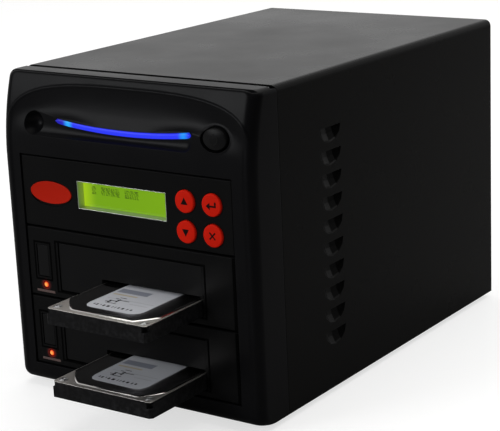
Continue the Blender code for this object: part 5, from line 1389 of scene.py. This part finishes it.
@dataclass
class Drive:
    """A 2.5 inch drive: cast body, stamped lid with a bright rim, screws and a printed label.

    Each strip of print is its start and end as shares of the label's width, its place from the
    label's front edge, and how far it reaches towards the back.
    """

    level: Level
    corner: float = 0.0020
    border_drop: float = 0.0005
    rim: float = 0.0010
    sink: float = 0.00035
    plate: float = 0.0002
    label_lift: float = 0.00008
    ink_lift: float = 0.00002
    middle_sides: Flat = (0.0009, 0.0013)
    middle_ends: Flat = (0.0030, 0.0030)
    left_cut: Flat = (0.0150, 0.0150)
    left_knee: Flat = (0.70, 0.12)
    right_cut: Flat = (0.0100, 0.0128)
    right_knee: Flat = (0.45, 0.45)
    back_cut: Flat = (0.0030, 0.0030)
    back_knee: Flat = (0.3, 0.3)
    label_sides: Flat = (0.0150, 0.0152)
    label_ends: Flat = (0.0121, 0.018)

    def edge(self, low: Point, high: Point, inset: float) -> list[Flat]:
        """The lid's outer edge seen from above, with rounded corners, moved inwards by an amount.

        Args:
            low: the lid's lowest corner.
            high: the lid's highest corner.
            inset: the amount.

        Returns:
            Its points in order.
        """
        radius = self.corner
        left, right = low[0] + inset + radius, high[0] - inset - radius
        front, back = low[1] + inset + radius, high[1] - inset - radius
        points: list[Flat] = []
        for x, y, start in ((right, back, 0), (left, back, 90), (left, front, 180), (right, front, 270)):
            for step in range(6):
                turn = math.radians(start + 18 * step)
                points.append((x + radius * math.cos(turn), y + radius * math.sin(turn)))
        return points

    def outline(self, low: Point, high: Point, inset: float) -> list[Flat]:
        """The raised middle seen from above, moved inwards by an amount: its four corners are cut.

        Args:
            low: the lid's lowest corner.
            high: the lid's highest corner.
            inset: the amount.

        Returns:
            Its points in order.
        """
        left, right = low[0] + self.middle_sides[0] + inset, high[0] - self.middle_sides[1] - inset
        front, back = low[1] + self.middle_ends[0] + inset, high[1] - self.middle_ends[1] - inset
        k = inset * 0.6
        points: list[Flat] = []
        for x, y, way_x, way_y, (across, along), knee, slant, first in (
            (left, front, 1, 1, self.left_cut, self.left_knee, k, "side"),
            (right, front, -1, 1, self.right_cut, self.right_knee, k, "end"),
            (right, back, -1, -1, self.back_cut, self.back_knee, 0.0, "side"),
            (left, back, 1, -1, self.back_cut, self.back_knee, 0.0, "end"),
        ):
            side = (x, y + way_y * (along - slant))
            end = (x + way_x * (across - slant), y)
            bend = (x + way_x * across * knee[0], y + way_y * along * knee[1])
            start, stop = (side, end) if first == "side" else (end, side)
            for step in range(7):
                t = step / 6
                points.append(tuple(
                    start[n] * (1 - t) ** 2 + bend[n] * 2 * t * (1 - t) + stop[n] * t * t for n in range(2)
                ))
        return points

    def add(self, piece: Piece, finish: Finish, replaces: Sequence[str] = ()) -> None:
        """Finish a piece of the lid and let it ride on the drive."""
        show(piece, "drive_" + self.level.value, finish, replaces)

    def lid(self) -> None:
        """Stamp the lid: a brushed border, a raised rim and a polished middle sunk inside it."""
        name = self.level.value
        low, high = case_box("drive_lid_" + name)
        top = high[2]
        edge = top - self.border_drop
        rings = [
            [(x, y, z) for x, y in self.edge(low, high, inset)]
            for inset, z in ((0.0, low[2]), (0.0, edge - 0.00015), (0.00015, edge))
        ]
        self.add(loft("lid_border_" + name, rings), Finishes.RIM, ["drive_lid_" + name])
        rows = (
            (-0.0002, edge - self.plate), (-0.0002, edge), (0.0002, top - 0.00012), (0.0005, top),
            (self.rim, top), (self.rim + 0.0004, top - 0.00010), (self.rim + 0.0009, top - self.sink),
        )
        rings = [[(x, y, z) for x, y in self.outline(low, high, inset)] for inset, z in rows]
        self.add(loft("stamped_lid_" + name, rings), Finishes.LID)
        self.screws(low, high, edge)
        self.label(low, high, top - self.sink)

    def screws(self, low: Point, high: Point, z: float) -> None:
        """Small round-headed screws, each in its seat, at the lid's corners.

        Args:
            low: the lid's lowest corner.
            high: the lid's highest corner.
            z: height of the lid's border.
        """
        head = (
            (0.0, 0.00012), (0.0006, 0.00012), (0.0007, 0.00040), (0.0013, 0.00038), (0.0017, 0.0002),
            (0.0018, -0.0001), (0.0, -0.0001),
        )
        seat = (
            (0.0021, -0.0001), (0.0021, 0.00012), (0.0026, 0.00012), (0.0027, -0.0001), (0.0021, -0.0001),
        )
        pieces = [
            turned("head", [(radius, z + rise) for radius, rise in profile], Axis.Z, centre, sides)
            for centre in (
                (low[0] + 0.0040, low[1] + 0.0046), (high[0] - 0.0042, low[1] + 0.0044),
                (low[0] + 0.0032, high[1] - 0.0028), (high[0] - 0.0032, high[1] - 0.0028),
            )
            for profile, sides in ((head, 20), (seat, 24))
        ]
        self.add(gather("lid_screws_" + self.level.value, pieces), Finishes.STEEL)

    def label(self, low: Point, high: Point, z: float) -> None:
        """Lay the paper label and print generic lines and blocks on it.

        Args:
            low: the lid's lowest corner.
            high: the lid's highest corner.
            z: height of the lid's middle.
        """
        name = self.level.value
        left, right = low[0] + self.label_sides[0], high[0] - self.label_sides[1]
        front, back = low[1] + self.label_ends[0], high[1] - self.label_ends[1]
        top = z + self.label_lift
        outline = [
            (left + 0.0056, front), (right - 0.0056, front), (right - 0.0026, front + 0.0010),
            (right - 0.0008, front + 0.0030), (right, front + 0.0058), (right, back - 0.003),
            (right - 0.003, back), (left + 0.003, back), (left, back - 0.003), (left, front + 0.0060),
            (left + 0.0010, front + 0.0026), (left + 0.0030, front + 0.0006),
        ]
        self.add(prism("drive_label_" + name, outline, Axis.Z, z - 0.00005, top), Finishes.LABEL)
        row = [
            (at, at + w, 0.0040 + drop, 0.0022 - drop)
            for at, w, drop in (
                (0.10, 0.022, 0.0004), (0.15, 0.030, 0.0), (0.22, 0.014, 0.0008), (0.27, 0.034, 0.0),
                (0.34, 0.052, 0.0), (0.44, 0.014, 0.0), (0.49, 0.014, 0.0), (0.54, 0.030, 0.0002),
                (0.61, 0.040, 0.0), (0.70, 0.022, 0.0), (0.76, 0.034, 0.0004),
            )
        ]
        lines = ((0.20, 0.40), (0.16, 0.26), (0.20, 0.34), (0.30, 0.52), (0.24, 0.30), (0.28, 0.40))
        row += [(start, end, 0.0098 + 0.0019 * n, 0.0006) for n, (start, end) in enumerate(lines)]
        row += [(0.22, 0.25, 0.0104, 0.0040), (0.33, 0.355, 0.0120, 0.0052)]
        width = right - left
        for word, finish, strips in (
            ("print", Finishes.INK, row),
            ("grey", Finishes.LABEL_GREY, [(0.10, 0.94, 0.0168, 0.0004), (0.58, 0.90, 0.0128, 0.0004)]),
            ("band", Finishes.LABEL_TAN, [(0.06, 0.50, 0.0232, 0.0014)]),
            ("block", Finishes.LABEL_BLUE, [(0.05, 0.60, 0.0272, 0.0060)]),
        ):
            self.add(blocks("label_%s_%s" % (word, name), [
                (
                    (left + width * start, front + y, top - self.ink_lift),
                    (left + width * end, front + y + tall, top + self.ink_lift),
                )
                for start, end, y, tall in strips
            ]), finish)

    def build(self) -> None:
        """Dress the body and board, and build the lid."""
        dress(Finishes.CASTING, "drive_base_" + self.level.value)
        dress(Finishes.BOARD, "drive_board_" + self.level.value)
        self.lid()


def dress_steelwork() -> None:
    """Dress the cover, the rear and everything inside that is kept from its solids."""
    dress(Finishes.COVER, "outer_cover", "rear_panel")
    dress(Finishes.STEEL, "base_pan", "bay_cage", "psu_case", "fan_guard")
    dress(Finishes.STEEL, *["cover_screw_%d" % n for n in (1, 2, 3, 4)])
    dress(Finishes.RUBBER, *["foot_front_" + side for side in ("left", "right")])
    dress(Finishes.RUBBER, *["foot_rear_" + side for side in ("left", "right")])
    dress(
        Finishes.BLACK, "mains_inlet", "rocker_frame", "rocker_switch", "psu_fan_frame", "psu_fan_rotor",
        "case_fan_frame", "case_fan_rotor",
    )


@dataclass
class Studio:
    """A white room with soft lamps, and the camera of the photograph."""

    camera_at: Point = (0.551077, -0.676188, 0.336777)
    azimuth: float = 0.5882
    elevation: float = 0.2653
    roll: float = -0.036
    lens: float = 114.0
    shift: float = -0.1013
    floor_size: float = 12.0
    floor_colour: float = 0.38
    floor_spread: float = 0.02
    floor_lift: float = 0.66
    mirrored_share: float = 0.05
    room_level: float = 0.35
    dim_level: float = 0.08
    bright_side: Point = (-0.35, 0.85, 0.35)
    bright_band: Flat = (0.1, 0.75)

    def camera(self) -> None:
        """Stand the camera where the photograph was taken from."""
        data = bpy.data.cameras.new("photo_camera")
        data.sensor_width = 36.0
        data.lens = self.lens
        data.shift_x = self.shift
        data.clip_end = 100.0
        a, e, r = self.azimuth, self.elevation, self.roll
        back = Vector((math.sin(a) * math.cos(e), -math.cos(a) * math.cos(e), math.sin(e)))
        right = Vector((math.cos(a), math.sin(a), 0.0))
        up = back.cross(right)
        turned_right = right * math.cos(r) + up * math.sin(r)
        turned_up = up * math.cos(r) - right * math.sin(r)
        camera = bpy.data.objects.new("photo_camera", data)
        bpy.context.scene.collection.objects.link(camera)
        turn = Matrix((turned_right, turned_up, back)).transposed().to_4x4()
        camera.matrix_world = Matrix.Translation(at(*self.camera_at)) @ turn
        bpy.context.scene.camera = camera

    def lamp(self, name: str, place: Point, aim: Point, size: Flat, power: float, colour: Point) -> None:
        """Hang a soft rectangular lamp.

        Args:
            name: the lamp's name.
            place: where it hangs.
            aim: the point that it faces.
            size: its width and height.
            power: its power in watts.
            colour: its colour.
        """
        data = bpy.data.lights.new(name, "AREA")
        data.shape = "RECTANGLE"
        data.size, data.size_y = size
        data.energy = power
        data.color = colour
        lamp = bpy.data.objects.new(name, data)
        lamp.location = place
        lamp.rotation_euler = (Vector(aim) - Vector(place)).to_track_quat("-Z", "Y").to_euler()
        bpy.context.scene.collection.objects.link(lamp)

    def seen(self, graph: Graph, path: Sockets) -> Socket:
        """1 for rays that come straight from the camera or through clear parts."""
        return graph.calc("MAXIMUM", path["Is Camera Ray"], path["Is Transmission Ray"])

    def world(self) -> None:
        """White to the camera; in reflections white behind the machine and dim in front; else soft."""
        world = bpy.data.worlds.new("white_room")
        bpy.context.scene.world = world
        world.use_nodes = True
        world.node_tree.nodes.clear()
        graph = Graph(world.node_tree)
        place = graph.add("TexCoord")["Generated"]
        towards = graph.add("VectorMath", {0: place, 1: self.bright_side}, operation="DOT_PRODUCT")["Value"]
        rear = graph.fade(towards, *self.bright_band, low=self.dim_level, soft=True)
        shown, mirrored, room = (
            graph.add("Background", {"Color": (1.0, 1.0, 1.0), "Strength": level})[0]
            for level in (1.0, rear, self.room_level)
        )
        path = graph.add("LightPath")
        inner = graph.add("MixShader", {"Fac": path["Is Glossy Ray"], 1: room, 2: mirrored})[0]
        outer = graph.add("MixShader", {"Fac": self.seen(graph, path), 1: inner, 2: shown})[0]
        graph.add("OutputWorld", {"Surface": outer})

    def floor(self) -> None:
        """A pale floor that shows white to the camera except where the machine's shadow falls."""
        half = self.floor_size / 2
        mesh = bpy.data.meshes.new("floor")
        corners = [(-half, -half, 0), (half, -half, 0), (half, half, 0), (-half, half, 0)]
        mesh.from_pydata(corners, [], [(0, 1, 2, 3)])
        floor = bpy.data.objects.new("floor", mesh)
        bpy.context.scene.collection.objects.link(floor)
        shading = Shading("pale_floor")
        path = shading.add("LightPath")
        mirrored = shading.calc("MULTIPLY", path["Is Glossy Ray"], self.mirrored_share)
        lift = shading.calc("MAXIMUM", self.seen(shading, path), mirrored)
        shades = ((self.floor_colour,) * 3, (self.floor_colour + self.floor_spread,) * 3)
        shading.fill(shading.shader, {
            "Base Color": shading.mix(shading.noise(3.0), *shades), "Roughness": 0.9,
            "Specular IOR Level": 0.1, "Emission Color": (1.0, 1.0, 1.0),
            "Emission Strength": shading.calc("MULTIPLY", lift, self.floor_lift),
        })
        mesh.materials.append(shading.material)

    def build(self) -> None:
        """Set the room, its lamps and the camera."""
        self.camera()
        self.world()
        self.floor()
        self.lamp("overhead", (0.0, 0.5, 2.2), (0.0, 0.0, 0.1), (2.6, 2.2), 45.0, (1.0, 0.985, 0.96))
        self.lamp("front_left", (-1.29, -1.92, 0.97), (0.0, -0.1, 0.1), (1.2, 0.9), 30.0, (0.97, 0.98, 1.0))
        bpy.context.scene.view_settings.view_transform = "Standard"


def main() -> None:
    """Build every sub-assembly in order, then the room around it."""
    logging.basicConfig(level=logging.INFO, format="%(message)s")
    bezel = Bezel()
    bezel.build()
    PowerButton().build(bezel)
    DisplayPanel().build()
    for level in Level:
        Rack(level).build()
        Drive(level).build()
    dress_steelwork()
    Studio().build()


if __name__ == "__main__":
    main()
